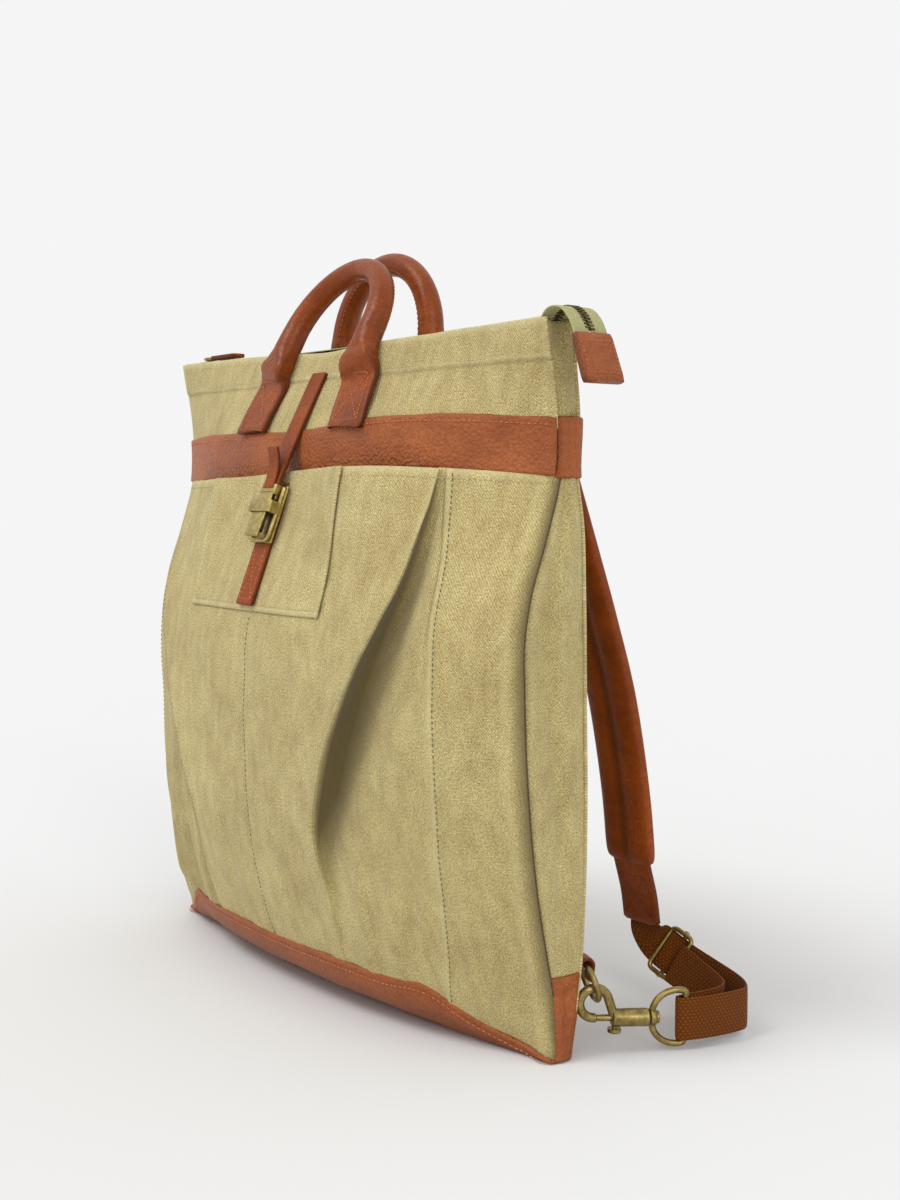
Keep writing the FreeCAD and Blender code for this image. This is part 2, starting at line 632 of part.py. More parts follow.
def make_strap_slider():
    """Three-bar slider: a rounded frame before the webbing and a middle bar behind it."""
    place = frame_from(SLIDER_AT, SLIDER_ALONG, SLIDER_ACROSS)
    wire = size("slider_wire")
    clear = size("webbing_thick") / 2 + wire + 0.5
    long, tall = 9.5, size("webbing_wide") / 2 + 3.6
    frame = Part.makeBox(2 * long, 2 * wire, 2 * tall, Vector(-long, -clear - wire, -tall))
    window = Part.makeBox(2 * (long - 2 * wire), 4 * wire, 2 * (tall - 2 * wire),
                          Vector(-long + 2 * wire, -clear - 2 * wire, -tall + 2 * wire))
    frame = frame.cut(window)
    upright = [e for e in frame.Edges if abs(e.Length - 2 * wire) < 1e-6]
    frame = frame.makeFillet(2.2, [e for e in upright if abs(abs(e.CenterOfMass.x) - long) < 0.1])
    bar = Part.makeCylinder(wire, 2 * tall + 3, Vector(0, clear, -tall - 1.5), Vector(0, 0, 1))
    thick = 2 * wire - 1
    foot = Vector(-thick / 2, -clear, wire - thick / 2)
    low = Part.makeBox(thick, 2 * clear, thick, foot - Vector(0, 0, tall))
    high = Part.makeBox(thick, 2 * clear, thick, Vector(foot.x, foot.y, tall - wire - thick / 2))
    shape_part("right_slider", frame.fuse([bar, low, high]), place)


def make_snap():
    """Trigger snap: hook and barrel in one casting, sprung bolt, swivel eye."""
    place = frame_from(SNAP_AT, SNAP_ALONG, (0, 0, 1))
    barrel, bore = size("barrel_radius"), size("bolt_radius") + 0.15
    long = size("barrel_long")
    along = Vector(1, 0, 0)
    solid = Part.makeCylinder(barrel, long, Vector(0, 0, 0), along)
    solid = solid.makeFillet(1.2, [solid.Edges[0], solid.Edges[2]])
    centre_x, centre_z, radius = -10.6, 8.7, size("hook_radius")
    start_angle, end_angle = math.radians(20), math.radians(276)
    middle = (start_angle + end_angle) / 2

    def on_circle(angle):
        return Vector(centre_x + radius * math.cos(angle), 0, centre_z + radius * math.sin(angle))

    tangent = Vector(-math.sin(start_angle), 0, math.cos(start_angle))
    root = on_circle(start_angle) - tangent * 12.5
    line = Part.makeLine(root, on_circle(start_angle))
    arc = Part.Arc(on_circle(start_angle), on_circle(middle), on_circle(end_angle)).toShape()
    path = Part.Wire([line, arc])
    rim = Part.Wire(Part.makeCircle(size("hook_wire"), root, tangent))
    hook = path.makePipeShell([rim], True, True)
    stem = Part.makeCylinder(size("stem_radius"), 6, Vector(long - 0.5, 0, 0), along)
    head = Part.makeCylinder(3.6, 1.8, Vector(long + 4.2, 0, 0), along)
    casting = solid.fuse([hook, stem, head])
    hole = Part.makeCylinder(bore, 20.5, Vector(-4, 0, 0), along)
    slot = Part.makeBox(12.2, 3.2, 8, Vector(0.2, -1.6, -8))
    shape_part("right_snap_body", casting.cut(hole).cut(slot), place)

    bolt = Part.makeCylinder(size("bolt_radius"), 15.2, Vector(-9.2, 0, 0), along)
    neck = Part.makeCylinder(1.3, 7, Vector(2, 0, 0), Vector(0, 0, -1))
    knob = Part.makeCylinder(4, 2.6, Vector(2, 0, -6.2), Vector(0, 0, -1))
    knob = knob.makeFillet(1.0, [knob.Edges[0]])
    shape_part("right_snap_bolt", bolt.fuse([neck, knob]), place)

    coil = Part.makeHelix(2.45, 9.8, 1.2)
    coil.Placement = Placement(Vector(6.4, 0, 0), Rotation(Vector(0, 1, 0), 90))
    start = coil.Edges[0].valueAt(coil.Edges[0].FirstParameter)
    aim = coil.Edges[0].tangentAt(coil.Edges[0].FirstParameter)
    wire = Part.Wire(Part.makeCircle(0.35, start, aim))
    spring = Part.Wire(coil.Edges).makePipeShell([wire], True, True)
    shape_part("right_snap_spring", spring, place)
    make_eye(place)


def make_eye(place):
    """Swivel eye: a D-shaped frame with a straight bar for the webbing and a bored web for the stem."""
    thick, bar = 4, size("eye_bar")
    near, far = size("barrel_long") + 0.4, size("barrel_long") + 24
    inside = size("eye_inside") / 2

    def frame(x0, x1, neck, tall, shoulder):
        """A slab with a narrow neck at x0 that widens to its full height at the shoulder."""
        top = Part.Arc(Vector(x0, 0, neck), Vector(x0 + 3.2, 0, tall - 3.4), Vector(shoulder, 0, tall))
        low = Part.Arc(Vector(x0, 0, -neck), Vector(x0 + 3.2, 0, -tall + 3.4), Vector(shoulder, 0, -tall))
        corners = [Vector(shoulder, 0, tall), Vector(x1, 0, tall), Vector(x1, 0, -tall), Vector(shoulder, 0, -tall)]
        edges = [Part.makeLine(a, b) for a, b in zip(corners, corners[1:])]
        edges.append(Part.makeLine(Vector(x0, 0, -neck), Vector(x0, 0, neck)))
        wire = Part.Wire(Part.__sortEdges__([top.toShape(), low.toShape(), *edges]))
        return Part.Face(wire).extrude(Vector(0, thick, 0)).translated(Vector(0, -thick / 2, 0))

    blank = frame(near, far, 6.5, inside + bar, near + 14)
    window = frame(near + 3.4, far - bar, 5, inside, near + 14.5)
    bore = Part.makeCylinder(size("stem_radius") + 0.15, 8, Vector(near - 2, 0, 0), Vector(1, 0, 0))
    shape_part("right_snap_eye", blank.cut(window).cut(bore), place)


def make_ring():
    """Round wire ring and the folded leather loop that holds it to the bag's lower back corner."""
    turn = Rotation(Vector(0, 0, 1), RING_TURN)
    place = Placement(Vector(*RING_AT), turn * Rotation(Vector(1, 0, 0), 90 + RING_TILT))
    ring = primitive("Part::Torus", place, Radius1="Sizes.ring_radius", Radius2="Sizes.ring_wire")
    keep(ring, "right_ring")

    inner, skin, leg = size("ring_wire") + 1.1, 2.0, 8.5
    outer = inner + skin
    body = new_body("right_ring_loop")
    sketch = sketch_on(body, "YZ_Plane", "loop_side")
    over = ((-outer, 0), (0, outer), (outer, 0))
    under = ((inner, 0), (0, inner), (-inner, 0))
    legs = [((-outer, -leg), (-outer, 0)), ((outer, 0), (outer, -leg)), ((inner, -leg), (inner, 0)),
            ((-inner, 0), (-inner, -leg))]
    feet = [((outer, -leg), (inner, -leg)), ((-inner, -leg), (-outer, -leg))]
    outline(sketch, [over, under, *legs, *feet])
    pad(body, sketch, "Sizes.loop_wide")
    top = place.multVec(Vector(0, size("ring_radius"), 0))
    keep(body, "right_ring_loop", Placement(top, turn * Rotation(Vector(1, 0, 0), -8)))


def make_left_twins():
    for name in ("strap_cover", "strap_foam", "strap_tab", "webbing", "slider", "snap_body", "snap_bolt",
                 "snap_spring", "snap_eye", "ring", "ring_loop"):
        mirrored("left_" + name, parts["right_" + name])


# ---------------------------------------------------------------- checks and export


def check_and_export():
    """Stop if anything did not build, then write one STEP file per sub-part."""
    doc.recompute()
    for obj in doc.Objects:
        if "Invalid" in obj.State or "Error" in obj.State:
            raise RuntimeError(f"{obj.Name} did not build: {obj.State}")
    os.makedirs("parts", exist_ok=True)
    for label, obj in sorted(parts.items()):
        solids = obj.Shape.Solids
        if obj.Shape.isNull() or not obj.Shape.isValid() or not solids:
            raise RuntimeError(f"{label} has no sound solid")
        whole = solids[0] if len(solids) == 1 else Part.makeCompound(solids)
        whole.exportStep(f"parts/{label}.step")
        print(f"{label}: {len(solids)} solid(s), {obj.Shape.Volume:.0f} mm3")


fill_sheet()
make_base()
make_panels()
make_patch_pocket()
make_ends()
make_lining()
make_zipper()
for handle_side in HANDLES:
    make_handle(handle_side)
shape_part("handle_tabs", Part.makeCompound(handle_tabs("front") + handle_tabs("back")))
make_clasp()
make_strap()
make_strap_slider()
make_snap()
make_ring()
make_left_twins()
check_and_export()
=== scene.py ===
"""Canvas and leather tote backpack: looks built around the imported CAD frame. Lengths here are in mm."""

import json
import math

import bpy
import numpy as np
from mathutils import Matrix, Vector, noise


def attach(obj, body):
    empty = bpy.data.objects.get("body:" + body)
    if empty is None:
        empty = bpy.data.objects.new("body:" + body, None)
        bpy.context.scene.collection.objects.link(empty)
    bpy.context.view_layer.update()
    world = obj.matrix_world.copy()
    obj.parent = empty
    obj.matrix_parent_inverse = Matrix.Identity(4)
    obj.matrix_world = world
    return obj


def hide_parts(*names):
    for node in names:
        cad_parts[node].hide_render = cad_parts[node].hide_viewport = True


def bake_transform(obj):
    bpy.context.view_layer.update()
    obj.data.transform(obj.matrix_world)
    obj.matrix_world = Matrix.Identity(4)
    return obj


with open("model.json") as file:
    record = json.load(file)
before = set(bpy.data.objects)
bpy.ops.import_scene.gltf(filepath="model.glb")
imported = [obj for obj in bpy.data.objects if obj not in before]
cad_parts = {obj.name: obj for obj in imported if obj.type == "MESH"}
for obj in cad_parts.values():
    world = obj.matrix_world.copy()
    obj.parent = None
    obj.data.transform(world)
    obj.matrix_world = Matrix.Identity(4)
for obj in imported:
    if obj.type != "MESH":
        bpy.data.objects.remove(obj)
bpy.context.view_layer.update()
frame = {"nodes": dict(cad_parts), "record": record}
MM = 0.001
HALF = 210.0  # half of the bag's width
EDGE = 0.6  # the walls' cloth stops this far from the end of the bag
END_INSET = 1.5  # how far the ends lie inside it
MOUTH, BAND_EDGE = 331, 362  # heights of the pocket's mouth and of the band's upper edge
RIM = 416.0  # height of the bag's rim
ZIP_Y, ZIP_Z = -13.0, 415.5  # where the zip runs along the rim
CURL = 0.42  # roundness of a sheet's rim as a share of its thickness
STITCH_SINK = 0.05
CORNERS = ((-1, -1), (1, -1), (1, 1), (-1, 1))
STITCH_SIDES = 6
# Rings of one thread bead: place along it, share of its radius, and how far the ring is lifted.
STITCH_RINGS = ((-0.5, 0.35, -0.25), (-0.25, 0.95, 0.05), (0.25, 0.95, 0.05), (0.5, 0.35, -0.25))


# ------------------------------------------------------------------ materials


class Nodes:
    """Small helper for writing a node tree."""

    def __init__(self, name):
        self.mat = bpy.data.materials.new(name)
        self.mat.use_nodes = True
        self.tree = self.mat.node_tree
        self.shader = self.tree.nodes["Principled BSDF"]

    def add(self, kind, inputs=None, **settings):
        node = self.tree.nodes.new(kind)
        for key, value in settings.items():
            setattr(node, key, value)
        for key, value in (inputs or {}).items():
            self.put(node.inputs[key], value)
        return node

    def put(self, socket, value):
        if isinstance(value, bpy.types.NodeSocket):
            self.tree.links.new(value, socket)
        else:
            socket.default_value = value

    def mix(self, factor, first, second, blend="MIX"):
        node = self.add("ShaderNodeMix", data_type="RGBA", blend_type=blend)
        for socket, value in zip((node.inputs[0], node.inputs[6], node.inputs[7]), (factor, first, second)):
            self.put(socket, value)
        return node.outputs[2]

    def math(self, operation, first, second=0.0):
        return self.add("ShaderNodeMath", {0: first, 1: second}, operation=operation).outputs[0]

    def plus(self, first, second):
        return self.math("ADD", first, second)

    def times(self, first, second):
        return self.math("MULTIPLY", first, second)

    def wear_and_shade(self):
        return self.add("ShaderNodeAttribute", attribute_name="wear_and_shade",
            attribute_type="GEOMETRY").outputs["Fac"]

    def ramp(self, value, low, high, out_low=0.0, out_high=1.0):
        inputs = {"Value": value, "From Min": low, "From Max": high, "To Min": out_low, "To Max": out_high}
        return self.add("ShaderNodeMapRange", inputs).outputs[0]

    def noise(self, vector, scale, detail=3.0, rough=0.55):
        inputs = {"Vector": vector, "Scale": scale, "Detail": detail, "Roughness": rough}
        return self.add("ShaderNodeTexNoise", inputs).outputs["Fac"]

    def scaled(self, vector, factors):
        return self.add("ShaderNodeMapping", {"Vector": vector, "Scale": factors}).outputs[0]

    def cloth_coordinates(self):
        """The piece's own flat coordinates, in millimetres."""
        uv = self.add("ShaderNodeUVMap", uv_map="flat").outputs[0]
        return self.scaled(uv, (1000, 1000, 1000))

    def solid_coordinates(self):
        return self.add("ShaderNodeTexCoord").outputs["Object"]

    def bump(self, height, strength, distance, below=None):
        inputs = {"Height": height, "Strength": strength, "Distance": distance}
        if below is not None:
            inputs["Normal"] = below
        return self.add("ShaderNodeBump", inputs).outputs[0]

    def finish(self, **values):
        for key, value in values.items():
            self.put(self.shader.inputs[key.replace("_", " ")], value)
        return self.mat


def rgb(red, green, blue):
    """Linear colour of a display colour from 0 to 255."""
    def linear(value):
        value /= 255
        return value / 12.92 if value < 0.04045 else ((value + 0.055) / 1.055) ** 2.4
    return (linear(red), linear(green), linear(blue), 1.0)


def canvas_material(name, light, dark, worn):
    """Washed cotton twill: slow fading, slubby yarns, fine diagonal ribs, pale rubbed edges, and painted shade
    where the wear_and_shade attribute is negative.
    """
    n = Nodes(name)
    flat, solid = n.cloth_coordinates(), n.solid_coordinates()
    clouds = n.noise(solid, 20, 5, 0.65)
    streaks = n.noise(n.scaled(flat, (0.12, 0.05, 1)), 1.0, 4, 0.65)
    warp = n.noise(n.scaled(flat, (2.1, 0.42, 1)), 1.0, 3, 0.7)
    weft = n.noise(n.scaled(flat, (0.38, 2.2, 1)), 1.0, 3, 0.7)
    twill = n.add("ShaderNodeTexWave", {"Vector": flat, "Scale": 0.37, "Distortion": 1.3, "Detail": 2.0,
        "Detail Scale": 1.4}, wave_type="BANDS", bands_direction="DIAGONAL").outputs["Fac"]
    fleck = n.noise(flat, 1.0, 2, 0.7)
    slow = n.plus(n.times(clouds, 0.6), n.times(streaks, 0.6))
    yarns = n.plus(n.times(warp, 0.6), n.times(weft, 0.6))
    colour = n.mix(n.ramp(n.plus(slow, yarns), 0.92, 1.48), dark, light)
    salt = n.ramp(n.plus(fleck, n.times(n.plus(warp, weft), 0.35)), 0.6, 1.1, 1.62, 0.36)
    colour = n.mix(1.0, colour, salt, "MULTIPLY")
    colour = n.mix(1.0, colour, n.ramp(twill, 0, 1, 0.8, 1.14), "MULTIPLY")
    wear_and_shade = n.wear_and_shade()
    rubbed = n.times(wear_and_shade, n.ramp(n.plus(warp, fleck), 0.75, 1.25))
    colour = n.mix(rubbed, colour, worn)
    # Negative values are painted shade: fold grooves, seam grooves and shadow lines go towards near black.
    colour = n.mix(n.times(wear_and_shade, -1.0), colour, n.mix(0.6, dark, (0.03, 0.024, 0.008, 1)))
    threads = n.plus(n.times(twill, 0.6), n.plus(yarns, n.times(fleck, 0.5)))
    fine = n.bump(threads, 0.85, 0.0005)
    soft = n.bump(n.noise(solid, 55, 4, 0.6), 0.35, 0.004, fine)
    return n.finish(Base_Color=colour, Roughness=0.92, Normal=soft, Sheen_Weight=0.15, Sheen_Roughness=0.6,
        Specular_IOR_Level=0.15)


def leather_material(name, light, dark, grain, depth, rough, shine=0.2):
    """Grained leather: pebbled cells, fine pores, slow clouds of tone, dark cut edges and painted shade in sewn
    valleys.
    """
    n = Nodes(name)
    solid = n.solid_coordinates()
    warp = n.noise(solid, 260, 2)
    bent = n.add("ShaderNodeVectorMath", {0: solid, 1: n.add("ShaderNodeCombineXYZ", {
        "X": n.times(warp, 0.0012), "Y": n.times(warp, 0.0010)}).outputs[0]}, operation="ADD").outputs[0]
    cells = n.add("ShaderNodeTexVoronoi", {"Vector": bent, "Scale": grain},
        feature="SMOOTH_F1").outputs["Distance"]
    pores = n.noise(solid, 2600, 3, 0.6)
    clouds = n.noise(solid, 30, 4, 0.6)
    creases = n.noise(n.scaled(solid, (70, 70, 240)), 1.0, 4, 0.65)
    tone = n.plus(n.times(clouds, 1.1), n.times(creases, 0.5))
    colour = n.mix(n.ramp(tone, 0.5, 1.1), dark, light)
    colour = n.mix(n.ramp(cells, 0.2, 0.75, 0.0, 0.55), colour, dark)
    wear_and_shade = n.wear_and_shade()
    # The wear_and_shade attribute darkens cut edges, and paints shade in the pads' sewn valleys.
    colour = n.mix(n.times(wear_and_shade, 0.75), colour, n.mix(0.6, dark, (0.02, 0.007, 0.003, 1)))
    height = n.math("SUBTRACT", n.times(pores, 0.18), cells)
    fine = n.bump(height, 0.7, depth)
    soft = n.bump(n.noise(solid, 90, 3, 0.6), 0.3, 0.002, fine)
    polish = n.ramp(n.plus(clouds, n.times(cells, 0.4)), 0.4, 1.0, rough - 0.07, rough + 0.12)
    return n.finish(Base_Color=colour, Roughness=polish, Normal=soft, Specular_IOR_Level=shine)


def brass_material(name, light, dark, rough=0.36):
    """Antique brass with dull patches and fine scratches."""
    n = Nodes(name)
    solid = n.solid_coordinates()
    patches = n.noise(solid, 240, 4, 0.65)
    fine = n.noise(solid, 1500, 3, 0.6)
    scratch = n.noise(n.scaled(solid, (3000, 400, 900)), 1.0, 2, 0.5)
    colour = n.mix(n.ramp(n.plus(patches, n.times(fine, 0.35)), 0.5, 0.85), dark, light)
    polish = n.ramp(n.plus(patches, fine), 0.7, 1.35, rough + 0.16, rough - 0.06)
    normal = n.bump(n.plus(fine, n.times(scratch, 0.5)), 0.22, 0.0002)
    return n.finish(Base_Color=colour, Metallic=1.0, Roughness=polish, Normal=normal)


def webbing_material(name, light, dark, rib, cross):
    """Coarse band weave: short ribs across the band, offset from one column to the next."""
    n = Nodes(name)
    flat = n.cloth_coordinates()
    parts = n.add("ShaderNodeSeparateXYZ", {0: flat})
    column = n.math("DIVIDE", parts.outputs[0], cross)
    half_turn = n.times(n.math("MODULO", n.math("FLOOR", column), 2.0), math.pi)
    along = n.plus(n.times(parts.outputs[1], 2 * math.pi / rib), half_turn)
    ribs = n.math("SINE", along)
    sides = n.math("SINE", n.times(n.math("FRACT", column), math.pi))
    bead = n.times(n.ramp(ribs, -1, 1), sides)
    fuzz = n.noise(flat, 3.2, 3, 0.7)
    shade = n.plus(n.times(bead, 0.8), n.times(fuzz, 0.6))
    colour = n.mix(n.ramp(shade, 0.25, 1.1), dark, light)
    normal = n.bump(n.plus(bead, n.times(fuzz, 0.3)), 0.9, 0.0006)
    return n.finish(Base_Color=colour, Roughness=0.85, Normal=normal, Sheen_Weight=0.05,
        Specular_IOR_Level=0.12)


def thread_material(name, light, dark):
    n = Nodes(name)
    solid = n.solid_coordinates()
    colour = n.mix(n.ramp(n.noise(solid, 900, 2), 0.35, 0.65), dark, light)
    normal = n.bump(n.noise(n.scaled(solid, (3500, 3500, 3500)), 1.0, 2), 0.5, 0.0002)
    return n.finish(Base_Color=colour, Roughness=0.7, Normal=normal)


def floor_material():
    n = Nodes("floor_paper")
    tone = n.noise(n.solid_coordinates(), 3.0, 2)
    colour = n.mix(tone, (0.695, 0.695, 0.695, 1), (0.705, 0.705, 0.705, 1))
    return n.finish(Base_Color=colour, Roughness=1.0, Specular_IOR_Level=0.0)


CANVAS = canvas_material("canvas_khaki", rgb(206, 191, 132), rgb(156, 134, 82), rgb(222, 211, 162))
# The khaki canvas in darker tones for pieces inside the bag and behind the pocket: painted shade.
CANVAS_SHADED = canvas_material("canvas_inside_shaded", rgb(140, 120, 78), rgb(98, 82, 48), rgb(150, 130, 90))
LEATHER = leather_material("leather_cognac", rgb(174, 98, 47), rgb(132, 65, 26), 560.0, 0.0016, 0.46, 0.3)
LEATHER_HANDLE = leather_material("leather_handle", rgb(152, 72, 9), rgb(106, 43, 3), 520.0, 0.0003, 0.36,
    0.24)
LEATHER_STRAP = leather_material("leather_strap", rgb(160, 78, 18), rgb(112, 47, 6), 600.0, 0.0003, 0.48)
LEATHER_DARK = leather_material("leather_dark", rgb(156, 74, 16), rgb(106, 44, 6), 560.0, 0.0003, 0.42)
BRASS = brass_material("brass_antique", rgb(190, 172, 112), rgb(150, 130, 78))
BRASS_OLD = brass_material("brass_worn", rgb(166, 146, 92), rgb(116, 98, 56), 0.34)
BRASS_DARK = brass_material("brass_dark", rgb(124, 110, 68), rgb(70, 60, 36), 0.42)
WEBBING = webbing_material("webbing_brown", rgb(128, 70, 12), rgb(88, 43, 3), 2.6, 1.9)
TAPE = webbing_material("zip_tape_cream", rgb(206, 204, 150), rgb(176, 172, 118), 0.9, 0.7)
THREAD = thread_material("thread_tan", rgb(206, 124, 76), rgb(168, 88, 44))
THREAD_OLIVE = thread_material("thread_olive", rgb(124, 122, 86), rgb(84, 84, 56))
THREAD_SAND = thread_material("thread_sand", rgb(198, 186, 138), rgb(156, 144, 98))
SEAM_DARK = thread_material("seam_shadow", rgb(88, 70, 36), rgb(56, 42, 20))
THREAD_BROWN = thread_material("thread_brown", rgb(110, 54, 22), rgb(72, 32, 10))


# ------------------------------------------------------------------ mesh building


def add_mesh(name, points, faces, material, body="bag", flat=None, wear_and_shade=None, replaces=()):
    """A smooth mesh object from points in mm, riding on a CAD body."""
    mesh = bpy.data.meshes.new(name)
    mesh.from_pydata([tuple(p) for p in np.asarray(points, float) * MM], [],
        [tuple(map(int, f)) for f in faces])
    mesh.polygons.foreach_set("use_smooth", [True] * len(mesh.polygons))
    if flat is not None:
        layer = mesh.uv_layers.new(name="flat")
        index = np.empty(len(mesh.loops), int)
        mesh.loops.foreach_get("vertex_index", index)
        layer.data.foreach_set("uv", (np.asarray(flat, float)[index] * MM).ravel())
    if wear_and_shade is not None:
        mesh.attributes.new("wear_and_shade", "FLOAT", "POINT").data.foreach_set("value",
            np.asarray(wear_and_shade, float).ravel())
    obj = bpy.data.objects.new(name, mesh)
    bpy.context.scene.collection.objects.link(obj)
    obj.data.materials.append(material)
    if body is not None:
        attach(obj, body)
    if replaces:
        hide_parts(*replaces)
    return obj


def grid_faces(rows, columns, first=0, close=False):
    """Quads over a grid of points; close joins the last column to the first."""
    faces = []
    for r in range(rows - 1):
        for c in range(columns if close else columns - 1):
            d = (c + 1) % columns
            faces.append((first + r * columns + c, first + r * columns + d, first + (r + 1) * columns + d,
                first + (r + 1) * columns + c))
    return faces


def grid_normals(points):
    """Unit normals of a rows x columns x 3 grid."""
    along_rows, along_columns = np.gradient(points, axis=0), np.gradient(points, axis=1)
    normals = np.cross(along_columns, along_rows)
    length = np.linalg.norm(normals, axis=2, keepdims=True)
    return normals / np.maximum(length, 1e-9)


def shell(name, points, thick, outward, material, flat=None, wear_and_shade=None, **options):
    """A closed sheet: points is its outer side, thick goes inward, and its rim is rounded."""
    points = np.asarray(points, float)
    rows, columns = points.shape[:2]
    normals = grid_normals(points)
    if (normals * np.asarray(outward, float)).sum(2).mean() < 0:
        points, normals = points[:, ::-1], -normals[:, ::-1]
        flat = None if flat is None else np.asarray(flat)[:, ::-1]
        wear_and_shade = None if wear_and_shade is None else np.asarray(wear_and_shade)[:, ::-1]
    thick = np.broadcast_to(np.asarray(thick, float), (rows, columns))[..., None]
    inner = points - normals * thick
    count = rows * columns
    verts = [points.reshape(-1, 3), inner.reshape(-1, 3)]
    faces = grid_faces(rows, columns)
    faces += [(count + a, count + d, count + c, count + b) for a, b, c, d in grid_faces(rows, columns)]
    rim = [(0, c) for c in range(columns)] + [(r, columns - 1) for r in range(1, rows)]
    rim += [(rows - 1, c) for c in range(columns - 2, -1, -1)] + [(r, 0) for r in range(rows - 2, 0, -1)]
    edge = []
    for r, c in rim:
        inside = points[min(max(r, 1), rows - 2), min(max(c, 1), columns - 2)]
        away = points[r, c] - inside
        away -= normals[r, c] * away.dot(normals[r, c])
        away /= max(np.linalg.norm(away), 1e-9)
        edge.append((points[r, c] + inner[r, c]) / 2 + away * thick[r, c] * CURL)
    verts.append(np.array(edge))
    total = len(rim)
    for k in range(total):
        j = (k + 1) % total
        a, b = rim[k][0] * columns + rim[k][1], rim[j][0] * columns + rim[j][1]
        faces.append((b, a, 2 * count + k, 2 * count + j))
        faces.append((2 * count + j, 2 * count + k, count + a, count + b))
    flat = np.stack([points[..., 0], points[..., 2]], 2) if flat is None else np.asarray(flat, float)
    wear_and_shade = np.zeros((rows, columns)) if wear_and_shade is None else np.asarray(wear_and_shade, float)
    flat_rim = np.array([flat[r, c] for r, c in rim])
    wear_and_shade_rim = np.array([wear_and_shade[r, c] for r, c in rim])
    flat_all = np.vstack([flat.reshape(-1, 2), flat.reshape(-1, 2), flat_rim])
    wear_and_shade_all = np.concatenate([wear_and_shade.ravel(), wear_and_shade.ravel(), wear_and_shade_rim])
    return add_mesh(name, np.vstack(verts), faces, material, flat=flat_all, wear_and_shade=wear_and_shade_all, **options)


def distances(line):
    """How far along the line each of its points is."""
    return np.concatenate([[0], np.cumsum(np.linalg.norm(np.diff(line, axis=0), axis=1))])


def at_distance(values, steps, at):
    """The three values found at one distance along a line."""
    return np.array([np.interp(at, steps, values[:, a]) for a in range(3)])


def unit(vectors):
    return vectors / np.linalg.norm(vectors, axis=-1, keepdims=True)


def curve_points(points, count, closed=False):
    """Evenly spaced points on a smooth curve through the given ones."""
    points = [np.asarray(p, float) for p in points]
    if closed:
        points = [points[-1], *points, points[0], points[1]]
    else:
        points = [2 * points[0] - points[1], *points, 2 * points[-1] - points[-2]]
    fine = []
    for k in range(1, len(points) - 2):
        p0, p1, p2, p3 = points[k - 1:k + 3]
        for t in np.linspace(0, 1, 24, endpoint=False):
            fine.append(0.5 * (2 * p1 + (p2 - p0) * t + (2 * p0 - 5 * p1 + 4 * p2 - p3) * t * t
                + (3 * p1 - p0 - 3 * p2 + p3) * t ** 3))
    if not closed:
        fine.append(points[-2])
    fine = np.array(fine)
    if closed:
        fine = np.vstack([fine, fine[:1]])
    steps = distances(fine)
    wanted = np.linspace(0, steps[-1], count + 1)[:-1] if closed else np.linspace(0, steps[-1], count)
    return np.stack([np.interp(wanted, steps, fine[:, k]) for k in range(fine.shape[1])], 1)


def frames_along(path, start_side, closed=False):
    """Tangent, side and up vectors along a path, turning as little as possible."""
    path = np.asarray(path, float)
    if closed:
        tangents = np.roll(path, -1, axis=0) - np.roll(path, 1, axis=0)
    else:
        tangents = np.gradient(path, axis=0)
    tangents = unit(tangents)
    sides = []
    side = np.asarray(start_side, float)
    for tangent in tangents:
        side = side - tangent * side.dot(tangent)
        side = side / np.linalg.norm(side)
        sides.append(side)
    sides = np.array(sides)
    return tangents, sides, np.cross(tangents, sides)


def loft(name, path, sections, start_side, material, closed=False, sides=None, wear_and_shade=None, **options):
    """A solid through cross-sections (rings of (side, up) pairs) carried along a path."""
    path = np.asarray(path, float)
    tangents, across, up = frames_along(path, start_side, closed)
    if sides is not None:
        across = np.asarray(sides, float)
        across = unit(across - tangents * (across * tangents).sum(1, keepdims=True))
        up = np.cross(tangents, across)
    sections = np.asarray(sections, float)
    if sections.ndim == 2:
        sections = np.broadcast_to(sections, (len(path), *sections.shape))
    rings = path[:, None] + across[:, None] * sections[..., :1] + up[:, None] * sections[..., 1:]
    rows, columns = rings.shape[:2]
    verts = rings.reshape(-1, 3)
    faces = grid_faces(rows, columns, close=True)
    if closed:
        last = (rows - 1) * columns
        faces += [(last + c, last + (c + 1) % columns, (c + 1) % columns, c) for c in range(columns)]
    else:
        verts = np.vstack([verts, rings[0].mean(0), rings[-1].mean(0)])
        last = (rows - 1) * columns
        for c in range(columns):
            d = (c + 1) % columns
            faces.append((d, c, rows * columns))
            faces.append((last + c, last + d, rows * columns + 1))
    steps = distances(path)
    flat = np.stack([sections[..., 0], np.broadcast_to(steps[:, None], (rows, columns))], 2).reshape(-1, 2)
    # worn carries the wear_and_shade values: worn edges and painted shade.
    worn = np.zeros(rows * columns) if wear_and_shade is None else np.broadcast_to(wear_and_shade, (rows, columns)).ravel()
    if not closed:
        flat = np.vstack([flat, flat[:1], flat[-1:]])
        worn = np.concatenate([worn, [0, 0]])
    return add_mesh(name, verts, faces, material, flat=flat, wear_and_shade=worn, **options)


def oval(wide, tall, count=20, power=2.0):
    """A superellipse ring of half-sizes wide and tall."""
    angles = np.linspace(0, 2 * math.pi, count, endpoint=False)
    c, s = np.cos(angles), np.sin(angles)
    return np.stack([wide * np.sign(c) * np.abs(c) ** (2 / power),
        tall * np.sign(s) * np.abs(s) ** (2 / power)], 1)


